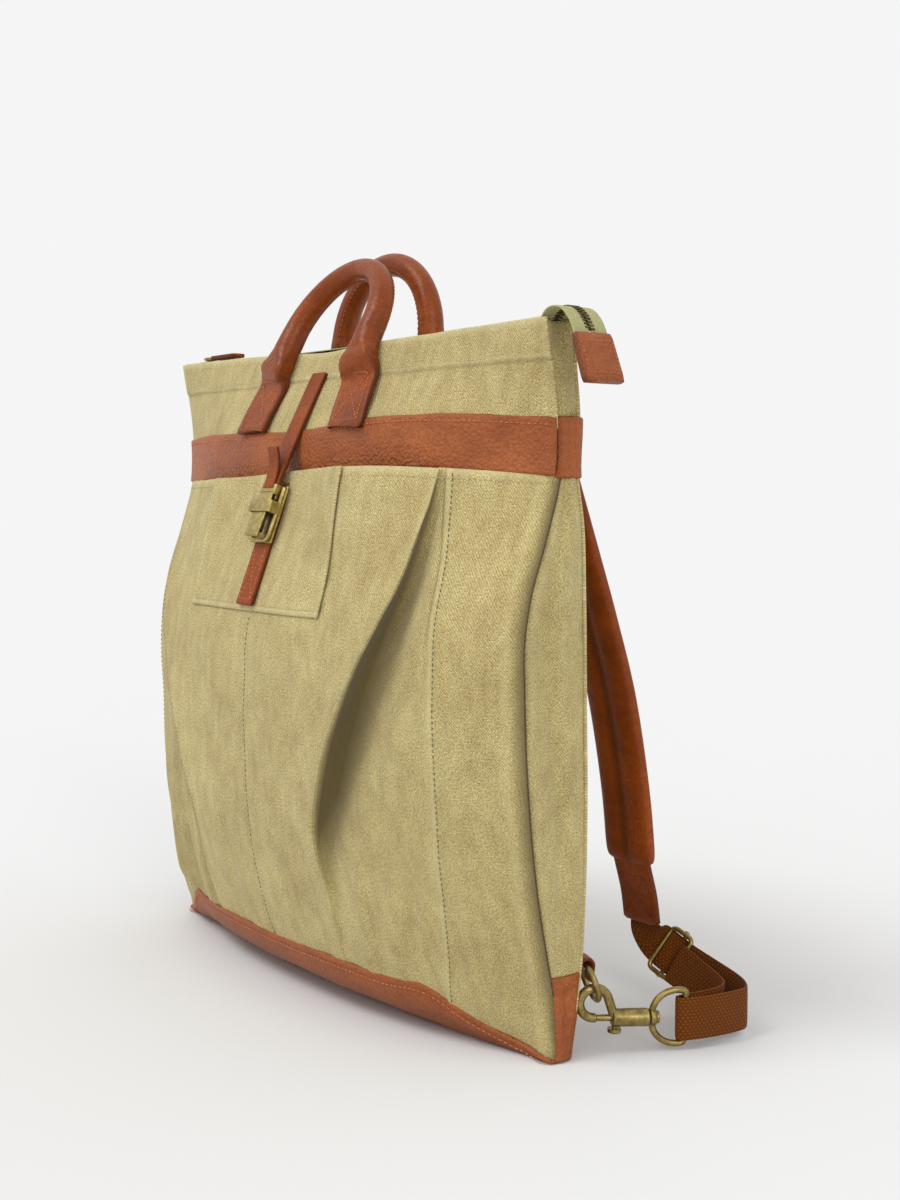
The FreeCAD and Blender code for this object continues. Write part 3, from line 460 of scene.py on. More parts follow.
def stitches(name, line, normals, material, size, body="bag"):
    """A row of short thread beads on a surface along a line; size is their pitch, length and radius."""
    pitch, length, radius = size
    line, normals = np.asarray(line, float), np.asarray(normals, float)
    steps = distances(line)
    count = max(int(steps[-1] / pitch), 1)
    verts, faces = [], []
    ring = STITCH_SIDES
    for k in range(count):
        at = (k + 0.5) * steps[-1] / count
        centre = at_distance(line, steps, at)
        ahead = at_distance(line, steps, at + 0.4)
        behind = at_distance(line, steps, at - 0.4)
        normal = at_distance(normals, steps, at)
        tangent = (ahead - behind) / max(np.linalg.norm(ahead - behind), 1e-9)
        normal -= tangent * normal.dot(tangent)
        normal /= max(np.linalg.norm(normal), 1e-9)
        side = np.cross(tangent, normal)
        base = len(verts)
        for t, r, lift in STITCH_RINGS:
            for j in range(ring):
                angle = 2 * math.pi * j / ring
                around = side * math.cos(angle) + normal * math.sin(angle)
                verts.append(centre + tangent * t * length + around * r * radius
                    + normal * (lift * radius - STITCH_SINK))
        faces += grid_faces(4, ring, base, close=True)
        faces += [tuple(base + j for j in range(ring))[::-1],
            tuple(base + 3 * ring + j for j in range(ring))]
    return add_mesh(name, verts, faces, material, body=body)


def join(name, pieces):
    """One object from several that share a body and slot."""
    bpy.ops.object.select_all(action="DESELECT")
    for piece in pieces:
        piece.select_set(True)
    bpy.context.view_layer.objects.active = pieces[0]
    bpy.ops.object.join()
    pieces[0].name = name
    return pieces[0]


# ------------------------------------------------------------------ shape of the bag's walls


def smooth_curve(*table):
    """A smooth function through (position, value) pairs."""
    xs, ys = np.array([p[0] for p in table], float), np.array([p[1] for p in table], float)
    slopes = np.gradient(ys, xs)

    def at(x):
        x = np.clip(x, xs[0], xs[-1])
        k = np.clip(np.searchsorted(xs, x) - 1, 0, len(xs) - 2)
        h = xs[k + 1] - xs[k]
        t = (x - xs[k]) / h
        return ((2 * t ** 3 - 3 * t ** 2 + 1) * ys[k] + (t ** 3 - 2 * t ** 2 + t) * h * slopes[k]
            + (3 * t ** 2 - 2 * t ** 3) * ys[k + 1] + (t ** 3 - t ** 2) * h * slopes[k + 1])
    return at


FRONT_END = smooth_curve((0, -15), (8, -14), (26, -17), (48, -22), (97, -32), (154, -39), (209, -42),
    (242, -42), (264, -38), (296, -27), (331, -17), (361, -16), (400, -21), (418, -24))
POCKET_MID = smooth_curve((0, -24), (6, -42), (14, -56), (32, -69), (60, -79.5), (94, -88), (127, -93),
    (159, -94.5), (200, -95), (225, -93.5), (251, -88.5), (280, -78.5), (310, -67), (338, -58.5))
WALL_MID = smooth_curve((32, -46), (80, -50), (255, -55), (300, -54), (331, -53), (346, -53.5),
    (361, -51.5), (380, -42), (400, -31), (418, -24))
BACK_END = smooth_curve((0, -3), (12, -1), (28, 2), (57, 6), (91, 8), (148, 9), (205, 8), (262, 7),
    (306, 5), (331, 1), (362, 2), (400, -1), (418, -1))
BACK_MID = smooth_curve((0, 24), (20, 30), (60, 34), (140, 36), (200, 35), (260, 31), (306, 25), (331, 22),
    (361, 18), (390, 9), (418, 3))
FOLD_X = smooth_curve((30, 74), (38, 76), (77, 79), (105, 77), (121, 79), (146, 87), (177, 97), (202, 109),
    (226, 120), (244, 129), (267, 138), (295, 142), (322, 144), (340, 144.5))
DART_X = smooth_curve((25, 150), (54, 156), (103, 160), (149, 161.5), (195, 162), (240, 161), (284, 157),
    (310, 151), (340, 146.5))
RIDGE = smooth_curve((25, 0.4), (60, 1.4), (90, 2.8), (115, 4.5), (146, 6.5), (200, 7), (250, 6),
    (300, 4.5), (338, 2))
VALLEY = smooth_curve((25, 0), (50, 0.8), (75, 2), (95, 4), (120, 9), (150, 14), (200, 17), (250, 15),
    (290, 9), (320, 4), (338, 1.5))
BAND_LOW = smooth_curve((-210, -2), (-100, -1.5), (-50, -0.5), (0, 2.5), (45, 4.5), (100, 5.5), (160, 3),
    (210, 0))
BAND_TOP = smooth_curve((-210, -2), (-100, -1.5), (-50, -2), (0, -2.5), (25, -1), (50, 1.7), (100, 4.3),
    (160, 3), (210, 0))
LEATHER_TOP = smooth_curve((0, 36), (66, 36), (105, 34), (146, 31), (156, 24), (178, 12), (211, 2))


# Small folds that rise from the base leather: where each one starts, how far it leans, its width and depth.
LOW_FOLDS = ((-168, -0.10, 5.0, 3.0), (-143, -0.13, 5.0, 3.8), (-118, -0.12, 4.5, 3.4),
    (-90, -0.06, 4.5, 2.6), (-40, 0.05, 6.0, 1.2), (30, -0.04, 6.0, 1.0), (104, 0.10, 5.0, 1.8),
    (128, 0.14, 5.0, 1.4))


def bell(value, width):
    """A smooth bump: 1 in the middle, about a third at one width away."""
    return np.exp(-(value / width) ** 2)


def bow(x):
    """0 along the middle of a wall and 1 at the bag's ends."""
    return np.minimum(np.abs(x) / HALF, 1.0) ** 2.6


def step(low, high, value):
    """Smooth rise from 0 at low to 1 at high."""
    t = np.clip((np.asarray(value, float) - low) / (high - low), 0, 1)
    return t * t * (3 - 2 * t)


def lift(x, z):
    """The band rides a little higher right of the middle, and the rim sags a little."""
    share = step(MOUTH, BAND_EDGE, z)
    band = (BAND_LOW(x) * (1 - share) + BAND_TOP(x) * share) * step(280, MOUTH,
        z) * (1 - step(BAND_EDGE, 380, z))
    return band - 2.0 * (1 - (np.abs(x) / HALF) ** 2) * step(385, 415, z)


def front_rim(x, z):
    """The front rim dips between the legs of its handle, which pull the cloth up on both sides."""
    return -3.2 * bell(x + 8, 38.0) * step(392, 416, z)


def rumple(x, z, size, amount, seed):
    """Slow unevenness of soft cloth, the same on every run."""
    x, z = np.broadcast_arrays(np.asarray(x, float), np.asarray(z, float))
    out = np.empty(x.shape)
    for index in np.ndindex(x.shape):
        place = Vector((x[index] / size + seed, seed * 1.7, z[index] / (size * 1.6)))
        out[index] = noise.noise(place) + 0.45 * noise.noise(place * 2.3)
    return out * amount


def between(middle, end, x, z):
    """A wall's depth, from its line up the middle to its line at the ends of the bag."""
    return middle(z) + (end(z) - middle(z)) * bow(x)


def left_heel(x, z):
    """The front's lower left stands out a little."""
    return -8.0 * bell(x + 188, 36.0) * (1 - step(30, 120, z))


def corner(x, z):
    """Low corners of the front stay a little fuller."""
    return -2.2 * bell(np.abs(x) - 203, 7.0) * (1 - step(12, 30, z))


def pocket_y(x, z):
    """Front of the pleated pocket."""
    ax = np.abs(x)
    y = between(POCKET_MID, FRONT_END, x, z)
    y = y - 11.0 * bell(ax - 84, 40.0) * step(255, 330, z)
    fold, dart = FOLD_X(z), DART_X(z)
    beyond = ax - fold
    room = np.maximum(dart - fold, 1.0)
    ridge = RIDGE(z) * np.where(beyond <= 0, np.exp(np.minimum(beyond, 0) / 24.0),
        np.exp(-np.maximum(beyond, 0) / 1.6))
    rest = np.clip(1 - beyond / room, 0, 1)
    valley = VALLEY(z) * (1 - np.exp(-np.maximum(beyond, 0) / 1.5)) * rest ** 1.6
    y = y - ridge + np.where(beyond > 0, valley, 0)
    seam = ax - dart
    y = y + 1.1 * bell(seam + 1.6, 1.6) - 0.9 * bell(seam - 2.2, 2.4)
    y = y + 0.8 * bell(x, 1.0) * (1 - step(240, 246, z))
    low_folds = step(30, 46, z) * (1 - step(70, 180, z))
    for place, slant, wide, deep in LOW_FOLDS:
        off = x - place - slant * (z - 40)
        y = y + low_folds * deep * (bell(off - wide, wide) - bell(off + wide * 0.4, wide))
    y = y + left_heel(x, z)
    y = y + 5.0 * step(203.5, 210.5, ax) ** 2 * (0.3 + 0.7 * step(12, 50, z)) + corner(x, z)
    keep = 1 - step(195, 209, ax)
    y = y + rumple(x, z, 48, 1.7, 3.1) * keep
    creases = rumple(np.asarray(x) * 2.6, np.asarray(z) * 0.8, 46, 0.7, 7.7)
    return y + creases * keep * (1 - step(120, 300, z))


def band_y(x, z):
    """Front wall above the pocket's mouth."""
    return between(WALL_MID, FRONT_END, x, z)


def base_y(x, z):
    """Front of the leather base: the pocket's shape without its folds."""
    return between(POCKET_MID, FRONT_END, x, z) + corner(x, z) + left_heel(x, z)


def back_y(x, z):
    """Back wall."""
    return between(BACK_MID, BACK_END, x, z)


def surface(y_of, x, z, proud=0.0, lifted=True):
    """Points on one wall; proud moves them out of the bag along the wall's normal."""
    x, z = np.broadcast_arrays(np.asarray(x, float), np.asarray(z, float))
    sign = 1.0 if y_of is back_y else -1.0
    here = y_of(x, z)
    slope_x = (y_of(x + 0.5, z) - y_of(x - 0.5, z))
    slope_z = (y_of(x, z + 0.5) - y_of(x, z - 0.5))
    normal = np.stack([-slope_x * sign, np.full(x.shape, sign), -slope_z * sign], -1)
    normal = unit(normal)
    rise = lift(x, z) if lifted else 0.0
    if y_of is band_y:
        rise = rise + front_rim(x, z)
    points = np.stack([x, here, z + rise], -1) + normal * np.asarray(proud, float)[..., None]
    return points, normal


def seam_stitches(name, y_of, x, z, material, proud, **options):
    """Stitches along a line of one wall."""
    points, normals = surface(y_of, x, z, proud)
    return stitches(name, points, normals, material, **options)


# ------------------------------------------------------------------ front pocket


def pocket_grid():
    """Grid positions with one column on each fold and one on each dart at every height."""
    share = np.concatenate([np.linspace(0, 0.05, 4), np.linspace(0.05, 0.95, 92)[1:],
        np.linspace(0.95, 1, 5)[1:]])[:, None]
    inner = 1 - (1 - np.linspace(0, 1, 46)) ** 1.5
    middle = np.linspace(0, 1, 24)[1:] ** 1.4
    outer = np.linspace(0, 1, 26)[1:]
    z = 30 + 302 * share * np.ones(46 + 23 + 25)
    for _ in range(6):
        fold, dart = FOLD_X(z), DART_X(z)
        x = np.concatenate([fold[:, :46] * inner, fold[:, 46:69] + (dart - fold)[:, 46:69] * middle,
            dart[:, 69:] + (HALF - EDGE - dart[:, 69:]) * outer], 1)
        bottom = np.maximum(LEATHER_TOP(x) - 3.0, 0.6)
        z = bottom + (MOUTH - bottom) * share
    return np.concatenate([-x[:, :0:-1], x], 1), np.concatenate([z[:, :0:-1], z], 1), share[:, 0]


def tucked(points, x, z):
    """Pull the cloth just past each fold back under it, so that the fold overhangs its groove."""
    beyond = np.maximum(np.abs(x) - FOLD_X(z), 0)
    room = np.clip((DART_X(z) - FOLD_X(z)) / 14.0, 0, 1)
    pull = 0.75 * VALLEY(z) * room * (1 - np.exp(-beyond / 0.9)) * bell(beyond, 7.0)
    out = points.copy()
    out[..., 0] -= np.sign(x) * pull
    return out


def laid_flat(points):
    """Cloth coordinates: distance along each row from the middle column, and height."""
    steps = np.linalg.norm(np.diff(points[..., :2], axis=1), axis=2)
    along = np.concatenate([np.zeros((len(points), 1)), np.cumsum(steps, axis=1)], 1)
    along -= along[:, [points.shape[1] // 2]]
    return np.stack([along, points[..., 2]], -1)


def make_pocket():
    """The pleated front pocket, its patch pocket and the front wall behind them."""
    grid_x, grid_z, share = pocket_grid()
    points, _ = surface(pocket_y, grid_x, grid_z)
    points = tucked(points, grid_x, grid_z)
    aside = np.abs(grid_x)
    beyond, past_dart = aside - FOLD_X(grid_z), aside - DART_X(grid_z)
    wear_and_shade = 0.35 * bell(beyond, 3.0) * step(90, 140, grid_z) * (beyond <= 0.01)
    wear_and_shade += 0.5 * bell(past_dart - 1.5, 1.8)
    wear_and_shade += 0.55 * step(0.985, 1.0, share)[:, None] + 0.3 * bell(aside - 203, 1.6)
    # Painted shade: the cloth just past each fold goes dark at the overhanging crest and fades towards the dart.
    room = np.maximum(DART_X(grid_z) - FOLD_X(grid_z), 1)
    depth = np.maximum(beyond, 0) / room
    shade = np.exp(-(depth / 0.1) ** 1.2) + 0.25 * np.exp(-depth / 0.4)
    painted_fold_shade = shade * (beyond > 0.1) * step(70, 150, grid_z)
    # Painted shade in the fold grooves, a little less near the mouth, and along the seam groove by the gusset.
    wear_and_shade -= 1.25 * painted_fold_shade * (1 - 0.4 * step(MOUTH - 15, MOUTH, grid_z)) + 0.9 * step(206, 209, aside)
    # Painted shade in the groove beside each dart seam.
    wear_and_shade -= 0.6 * bell(past_dart + 1.2, 0.9)
    # Painted shadow line just outside the patch pocket's sides.
    wear_and_shade -= 0.6 * bell(np.where(grid_z > 246, np.abs(aside - 77.8), 99), 0.9)
    thick = 1.8 + 1.4 * step(0.94, 0.95, share)[:, None] * np.ones_like(grid_x)
    piece = shell("front_pocket", points, thick, (0, -1, 0), CANVAS, flat=laid_flat(points),
        wear_and_shade=np.clip(wear_and_shade, -1, 1), replaces=("front_pocket_panel",))
    z = np.linspace(27, 330, 160)
    for name, side in (("left", -1), ("right", 1)):
        seam_stitches(f"dart_stitches_{name}", pocket_y, side * (DART_X(z) + 3.6), z, THREAD_OLIVE,
            size=(3.2, 2.0, 0.34), proud=0.2)
    z = np.linspace(38, 244, 100)
    seam_stitches("centre_stitches", pocket_y, 2.0, z, THREAD_OLIVE, size=(3.2, 1.8, 0.26), proud=0.1)
    for name, side in (("left", -1), ("right", 1)):
        x = np.linspace(78, 205, 70) * side
        seam_stitches(f"mouth_stitches_{name}", pocket_y, x, 326.5, THREAD_SAND, size=(3.4, 2.1, 0.3),
            proud=0.2)

    x, z = np.meshgrid(np.linspace(-77, 77, 80), np.linspace(247.5, 331.5, 46))
    raised = 1.5 + 0.5 * bell(77 - np.abs(x), 2.0)
    points, _ = surface(pocket_y, x, z, raised)
    worn = 0.45 * bell(75 - np.abs(x), 1.6) + 0.5 * bell(z - 249, 1.6)
    piece = shell("patch_pocket_cloth", points, 1.2, (0, -1, 0), CANVAS, wear_and_shade=np.clip(worn, 0, 1),
        replaces=("patch_pocket",))
    route = [(-74, MOUTH), (-74, 251), (74, 251), (74, MOUTH)]
    for number, ((x0, z0), (x1, z1)) in enumerate(zip(route, route[1:])):
        t = np.linspace(0, 1, 50)
        seam_stitches(f"patch_stitches_{number}", pocket_y, x0 + (x1 - x0) * t, z0 + (z1 - z0) * t,
            THREAD_SAND, size=(2.8, 1.9, 0.28), proud=1.75)

    x, z = np.meshgrid(np.linspace(-207, 207, 60), np.linspace(60, MOUTH, 30))
    points, _ = surface(band_y, x, z, -2.6)
    # The front wall behind the pocket takes the darker canvas: painted shade inside the pocket.
    piece = shell("front_wall_cloth", points, 1.6, (0, -1, 0), CANVAS_SHADED, replaces=("front_wall",))


# ------------------------------------------------------------------ band, yokes, back and ends


def wall_strip(name, y_of, low, high, proud, thick, material, rows, columns=96, wear_and_shade=None, uneven=0.0,
        seed=0.0, **options):
    """A strip of one wall between two heights, from end to end."""
    half = HALF - EDGE
    x, z = np.meshgrid(np.linspace(-half, half, columns), np.linspace(low, high, rows))
    shape = proud(x, z) if callable(proud) else np.full(x.shape, float(proud))
    if uneven:
        shape = shape + rumple(x, z, 45, uneven, seed) * (1 - step(half - 14, half, np.abs(x)))
    points, _ = surface(y_of, x, z, shape)
    outward = (0, 1, 0) if y_of is back_y else (0, -1, 0)
    return shell(name, points, thick, outward, material, wear_and_shade=None if wear_and_shade is None else wear_and_shade(x, z),
        **options)


def make_walls():
    """Both yokes, both leather bands and the back panel."""
    def hem(x, z):
        return 0.9 * step(394.2, 395.8, z)

    def hem_wear_and_shade(x, z):
        # Pale rubbed rim and ends, paler along the raised hem, and painted shade in a thin line under the hem's
        # step.
        edges = 0.6 * step(412, 416, z) + 0.4 * bell(z - 396.4, 1.2) + 0.4 * step(HALF - 3, HALF, np.abs(x))
        return edges - 0.35 * bell(z - 393.8, 0.9)

    for side, y_of in (("front", band_y), ("back", back_y)):
        piece = wall_strip(f"{side}_yoke_cloth", y_of, 357, 416.5, hem, 2.4, CANVAS, 61, wear_and_shade=hem_wear_and_shade,
            uneven=1.9, seed=5.0 if side == "front" else 9.0, replaces=(f"{side}_yoke",))
        wall_strip(f"{side}_band_leather", y_of, MOUTH + (0.6 if side == "front" else -1), BAND_EDGE, 1.7,
            2.6, LEATHER, 22, columns=120, uneven=0.6, seed=2.0, replaces=(f"{side}_band",))
        x = np.linspace(-207, 207, 260)
        seam_stitches(f"{side}_band_stitches_top", y_of, x, 358.8, THREAD, proud=1.95,
            size=(3.6, 2.4, 0.34))
        seam_stitches(f"{side}_hem_stitches", y_of, x, 397.2, THREAD_SAND, proud=1.15,
            size=(3.4, 2.2, 0.28))
    piece = wall_strip("back_panel_cloth", back_y, 28, 333, 0.0, 2.0, CANVAS, 70, uneven=1.8, seed=11.0,
        wear_and_shade=lambda x, z: 0.4 * step(HALF - 3, HALF, np.abs(x)), replaces=("back_panel",))
    seam_stitches("back_band_stitches_low", back_y, np.linspace(-207, 207, 260), 333.0, THREAD, proud=1.95,
        size=(3.6, 2.4, 0.34))


def end_grid(side, low, high, rows, columns, bulge, behind=1.5, past=-0.8):
    """Points on one end of the bag, between the front and back seams."""
    v, u = np.meshgrid(np.linspace(0, 1, rows), np.linspace(0, 1, columns), indexing="ij")
    z = low + (high - low) * v
    front, back = FRONT_END(z) + (behind(z) if callable(behind) else behind), BACK_END(z) + past
    y = front + (back - front) * u
    x = HALF - END_INSET + bulge(u, z)
    return np.stack([side * x, y, z + lift(side * HALF, z)], -1), np.stack([y, z], -1)


def round_end(u):
    """Bulge of an end between its front seam (0) and its back seam (1)."""
    return np.sin(math.pi * u) ** 0.7


def make_ends():
    """Gussets, band, top pieces and leather patches at both ends of the bag."""
    for side, name in ((1, "right"), (-1, "left")):
        outward = (side, 0, 0)

        def cloth(u, z):
            rounded = 2.6 * round_end(u) - 1.6 * bell(u, 0.06)
            crease = -3.2 * bell(u - 0.42 - 0.1 * np.sin(z / 60), 0.16) * step(60, 110, z)
            shoulder = 3.0 * bell(z - 292, 20) * np.sin(math.pi * u)
            uneven = rumple(u * 60, z, 40, 1.1, 4.0 * side)
            loose = crease * (1 - 0.6 * step(250, 330, z)) + shoulder + uneven
            return rounded * (0.3 + 0.7 * step(48, 80, z)) + loose * step(44, 70, z)

        points, flat = end_grid(side, 42, 333, 90, 22, cloth, behind=4.9)
        across = np.linspace(0, 1, 22)
        # Pale rubbed line just behind the front seam; painted shade along the seam itself.
        edge = np.broadcast_to(0.3 * bell(across - 0.1, 0.05) - 0.9 * bell(across, 0.03), (90, 22))
        piece = shell(f"{name}_gusset_cloth", points, 2.0, outward, CANVAS, flat=flat, wear_and_shade=edge,
            replaces=(f"{name}_gusset",))

        def band(u, z):
            return 2.2 * round_end(u) + 1.6 - 1.2 * bell(u, 0.08) - 0.8 * bell(u - 0.4, 0.12)

        points, flat = end_grid(side, 330.5, 362.5, 20, 22, band, past=1.4)
        shell(f"{name}_gusset_band_leather", points, 2.6, outward, LEATHER, flat=flat,
            replaces=(f"{name}_gusset_band",))

        def top(u, z):
            tuck = -5.5 * bell(u - 0.4, 0.24) * step(388, 408, z)
            return (2.6 * round_end(u) + rumple(u * 40, z, 30, 0.8, 6.0)) * step(358, 372, z) + tuck - 0.4

        points, flat = end_grid(side, 359, 415, 34, 20, top)
        piece = shell(f"{name}_gusset_top_cloth", points, 2.0, outward, CANVAS, flat=flat,
            replaces=(f"{name}_gusset_top",))

        def patch(u, z):
            dent = 2.4 * bell(u - 0.55, 0.22) * step(4, 30, z) * (1 - step(38, 46, z))
            return 1.0 + 1.6 * round_end(u) - dent

        def patch_edge(z):
            return 4.9 * (0.3 + 0.7 * step(12, 50, z)) - 0.9 * (1 - step(12, 30, z))

        points, flat = end_grid(side, 1.5, 49, 30, 18, patch, behind=patch_edge)
        shell(f"{name}_end_leather", points, 2.2, outward, LEATHER, flat=flat,
            replaces=(f"{name}_end_patch",))
        # A thin dark cord along each front seam: painted shadow in the seam's groove.
        z = np.linspace(6, 330, 120)
        x = np.full(z.shape, side * (HALF - 1.2))
        line = np.column_stack([x, FRONT_END(z) + 4.7, z + lift(side * HALF, z)])
        loft(f"{name}_front_seam", line, oval(0.7, 0.9, 8), (0, 1, 0), SEAM_DARK)
        seam = points[-3, 1:-1] + np.array([side * 0.3, 0, -0.6])
        stitches(f"{name}_end_stitches", seam, np.broadcast_to(outward, seam.shape), THREAD,
            size=(3.0, 2.0, 0.32))


def make_base():
    """Leather base: down the front, under the sole and up the back, drawn as one turned-up sheet."""
    columns = np.concatenate([np.linspace(-209, -146, 30), np.linspace(-146, 146, 90)[1:-1],
        np.linspace(146, 209, 30)])
    count = 46
    rows = []
    for x in columns:
        top = float(LEATHER_TOP(abs(x)))
        front_z = np.linspace(top, min(6.0, top * 0.6), 9)
        front = np.stack([surface(base_y, x, front_z, 2.0)[0][:, 1], front_z], 1)
        shrink = 1 - (abs(x) / HALF) ** 3 * 0.5
        sole_front = float(between(POCKET_MID, FRONT_END, x, 0))
        sole_back = float(between(BACK_MID, BACK_END, x, 0))
        back_z = np.linspace(6.0, 32.0, 8)
        back = np.stack([surface(back_y, x, back_z, 0.9)[0][:, 1], back_z], 1)
        corner_front = (sole_front * 0.75 + front[-1, 0] * 0.25, 0.55 * (1 - shrink) + 0.35)
        corner_back = (sole_back * 0.8 + back[0, 0] * 0.2, 0.5)
        knots = [*front, corner_front, (sole_front * 0.5 + sole_back * 0.5, 0.15), corner_back, *back]
        line = curve_points(knots, count)
        line[:, 1] = np.maximum(line[:, 1], 0.12)
        rows.append(np.column_stack([np.full(count, x), line]))
    points = np.array(rows)
    flat = np.stack([points[..., 0], np.broadcast_to(np.arange(count) * 3.0, points.shape[:2])], -1)
    normals = grid_normals(points)
    uneven = rumple(points[:, 2:-2, 0], points[:, 2:-2, 1] * 2, 40, 0.5, 8.0)
    points[:, 2:-2] += normals[:, 2:-2] * uneven[..., None]
    points[..., 2] = np.maximum(points[..., 2], 0.1)
    worn = 0.5 * bell(np.arange(count) - 9, 4.0) * np.ones((len(columns), 1))
    shell("leather_base_hide", points, 2.2, (0, 0, -1), LEATHER, flat=flat, wear_and_shade=worn,
        replaces=("leather_base",))
    x = np.linspace(-207, 207, 280)
    z = LEATHER_TOP(np.abs(x)) - 3.2
    seam_stitches("base_front_stitches", base_y, x, np.maximum(z, 1.0), THREAD, proud=2.25,
        size=(3.5, 2.4, 0.34))
    seam_stitches("base_back_stitches", back_y, x, 29.0, THREAD, proud=1.15, size=(3.5, 2.4, 0.34))


make_pocket()
make_walls()
make_ends()
make_base()


# ------------------------------------------------------------------ strips, stitched boxes and twins


def strip_ring(wide, thick, power=7.0, count=28):
    """Section of a flat strip with rounded edges."""
    return oval(wide / 2, thick / 2, count, power)


def edge_wear(ring):
    """1 on the cut edges of a leather strip and 0 on its faces."""
    reach = np.abs(ring[:, 0]) / np.abs(ring[:, 0]).max()
    return reach ** 16


def box_stitches(name, centre, right, up, wide, tall, normal, material, cross=True, foot=None, **options):
    """Stitches round a four-sided patch with a cross in it; foot is the width of its lower edge."""
    centre, right, up, normal = (np.asarray(v, float) for v in (centre, right, up, normal))
    right, up = right / np.linalg.norm(right), up / np.linalg.norm(up)
    foot = wide if foot is None else foot
    corners = [centre + right * a * (foot if b < 0 else wide) / 2 + up * b * tall / 2 for a, b in CORNERS]
    lines = [(0, 1), (1, 2), (2, 3), (3, 0)] + ([(0, 2), (1, 3)] if cross else [])
    pieces = [stitches(f"{name}_{k}", [corners[a], corners[b]], [normal, normal], material,
        **options) for k, (a, b) in enumerate(lines)]
    return join(name, pieces)


def turned(points, centre, degrees):
    """Local points turned about X and moved to their place."""
    points = np.asarray(points, float)
    c, s = math.cos(math.radians(degrees)), math.sin(math.radians(degrees))
    y, z = points[..., 1] * c - points[..., 2] * s, points[..., 1] * s + points[..., 2] * c
    return np.stack([points[..., 0], y, z], -1) + np.asarray(centre, float)


def block(name, low, high, material, soften=0.4, place=None, taper=None, **options):
    """A box with rounded edges, optionally tapered, from corners in a local frame."""
    low, high = np.asarray(low, float), np.asarray(high, float)
    size = high - low
    steps = [np.array([0, soften * 0.3, soften, s - soften, s - soften * 0.3, s]) for s in size]
    verts, index = [], {}

    def vert(i, j, k):
        if (i, j, k) not in index:
            p = np.array([steps[0][i], steps[1][j], steps[2][k]])
            inner = np.clip(p, soften, size - soften)
            away = p - inner
            if np.linalg.norm(away) > 1e-9:
                p = inner + away / np.linalg.norm(away) * soften
            index[(i, j, k)] = len(verts)
            verts.append(low + p)
        return index[(i, j, k)]

    faces = []
    for axis in range(3):
        one, two = (axis + 1) % 3, (axis + 2) % 3
        for end in (0, 5):
            for i in range(5):
                for j in range(5):
                    quad = []
                    for di, dj in ((0, 0), (1, 0), (1, 1), (0, 1)):
                        key = [0, 0, 0]
                        key[axis], key[one], key[two] = end, i + di, j + dj
                        quad.append(vert(*key))
                    faces.append(quad if end else quad[::-1])
    points = np.array(verts)
    if taper is not None:
        points = taper(points)
    if place is not None:
        points = place(points)
    return add_mesh(name, points, faces, material, **options)


# ------------------------------------------------------------------ zipper


TAIL = ((198, 415.5), (204, 415.8), (208, 418.6), (212.5, 421.2), (217.5, 421.8), (223, 420.3),
    (228, 416.2), (232, 410.6), (235, 403.5))
SLIDER_X = -188.0


def zip_line():
    """The middle of the zipper: along the rim, then over the end in an arch."""
    straight = [(x, ZIP_Z) for x in np.linspace(-204, 190, 60)]
    tail = curve_points(((190, ZIP_Z), *TAIL), 40)[1:]
    line = np.vstack([straight, tail])
    return np.column_stack([line[:, 0], np.full(len(line), ZIP_Y), line[:, 1]])


def make_zipper():
    """Tapes, teeth, end tab and puller."""
    line = zip_line()
    x = line[:, 0]
    out = step(196, 212, x)
    arch = np.maximum(1 - (np.minimum(np.abs(x), HALF) / HALF) ** 2, 0)
    line[:, 2] += -1.2 * arch * (1 - out)
    for name, side in (("front", -1), ("back", 1)):
        wall = (band_y if side < 0 else back_y)(x, RIM)
        reach = (np.abs(wall - ZIP_Y) - 2.2) * (1 - out) + 12.0 * out
        near = 0.75
        ring = strip_ring(2, 1.0, 5.0, 22)
        sections = [np.column_stack([side * ((near + far) / 2 + ring[:, 0] * (far - near) / 2),
            ring[:, 1]]) for far in reach]
        loft(f"zip_tape_cloth_{name}", line, sections, (0, 1, 0), TAPE, replaces=(f"zip_tape_{name}",))
        teeth_row(name, side, line)
    along = np.array([9, 0, -23.0]) / math.hypot(9, 23)
    top = np.array([235.4, ZIP_Y, 403.6])
    tab_normal = np.array([-along[2], 0, along[0]])
    path = [top - along * 2.5, top, top + along * 6, top + along * 22, top + along * 25.2]
    sizes = ((25.5, 4.4), (26.5, 5.4), (27, 5.4), (28, 5.2), (27.4, 4.6))
    sections = [strip_ring(wide, thick, 6) for wide, thick in sizes]
    loft("zip_end_tab_leather", path, sections, (0, 1, 0), LEATHER, wear_and_shade=edge_wear(sections[2]),
        replaces=("zip_end_tab",))
    for face, sign in (("out", 1), ("in", -1)):
        normal = tab_normal * sign
        box_stitches(f"zip_end_stitches_{face}", top + along * 11.5 + normal * 2.75, (0, 1, 0), along, 22.5,
            18.5, normal, THREAD, cross=False, foot=21.5, size=(2.6, 1.8, 0.28))
    make_puller()


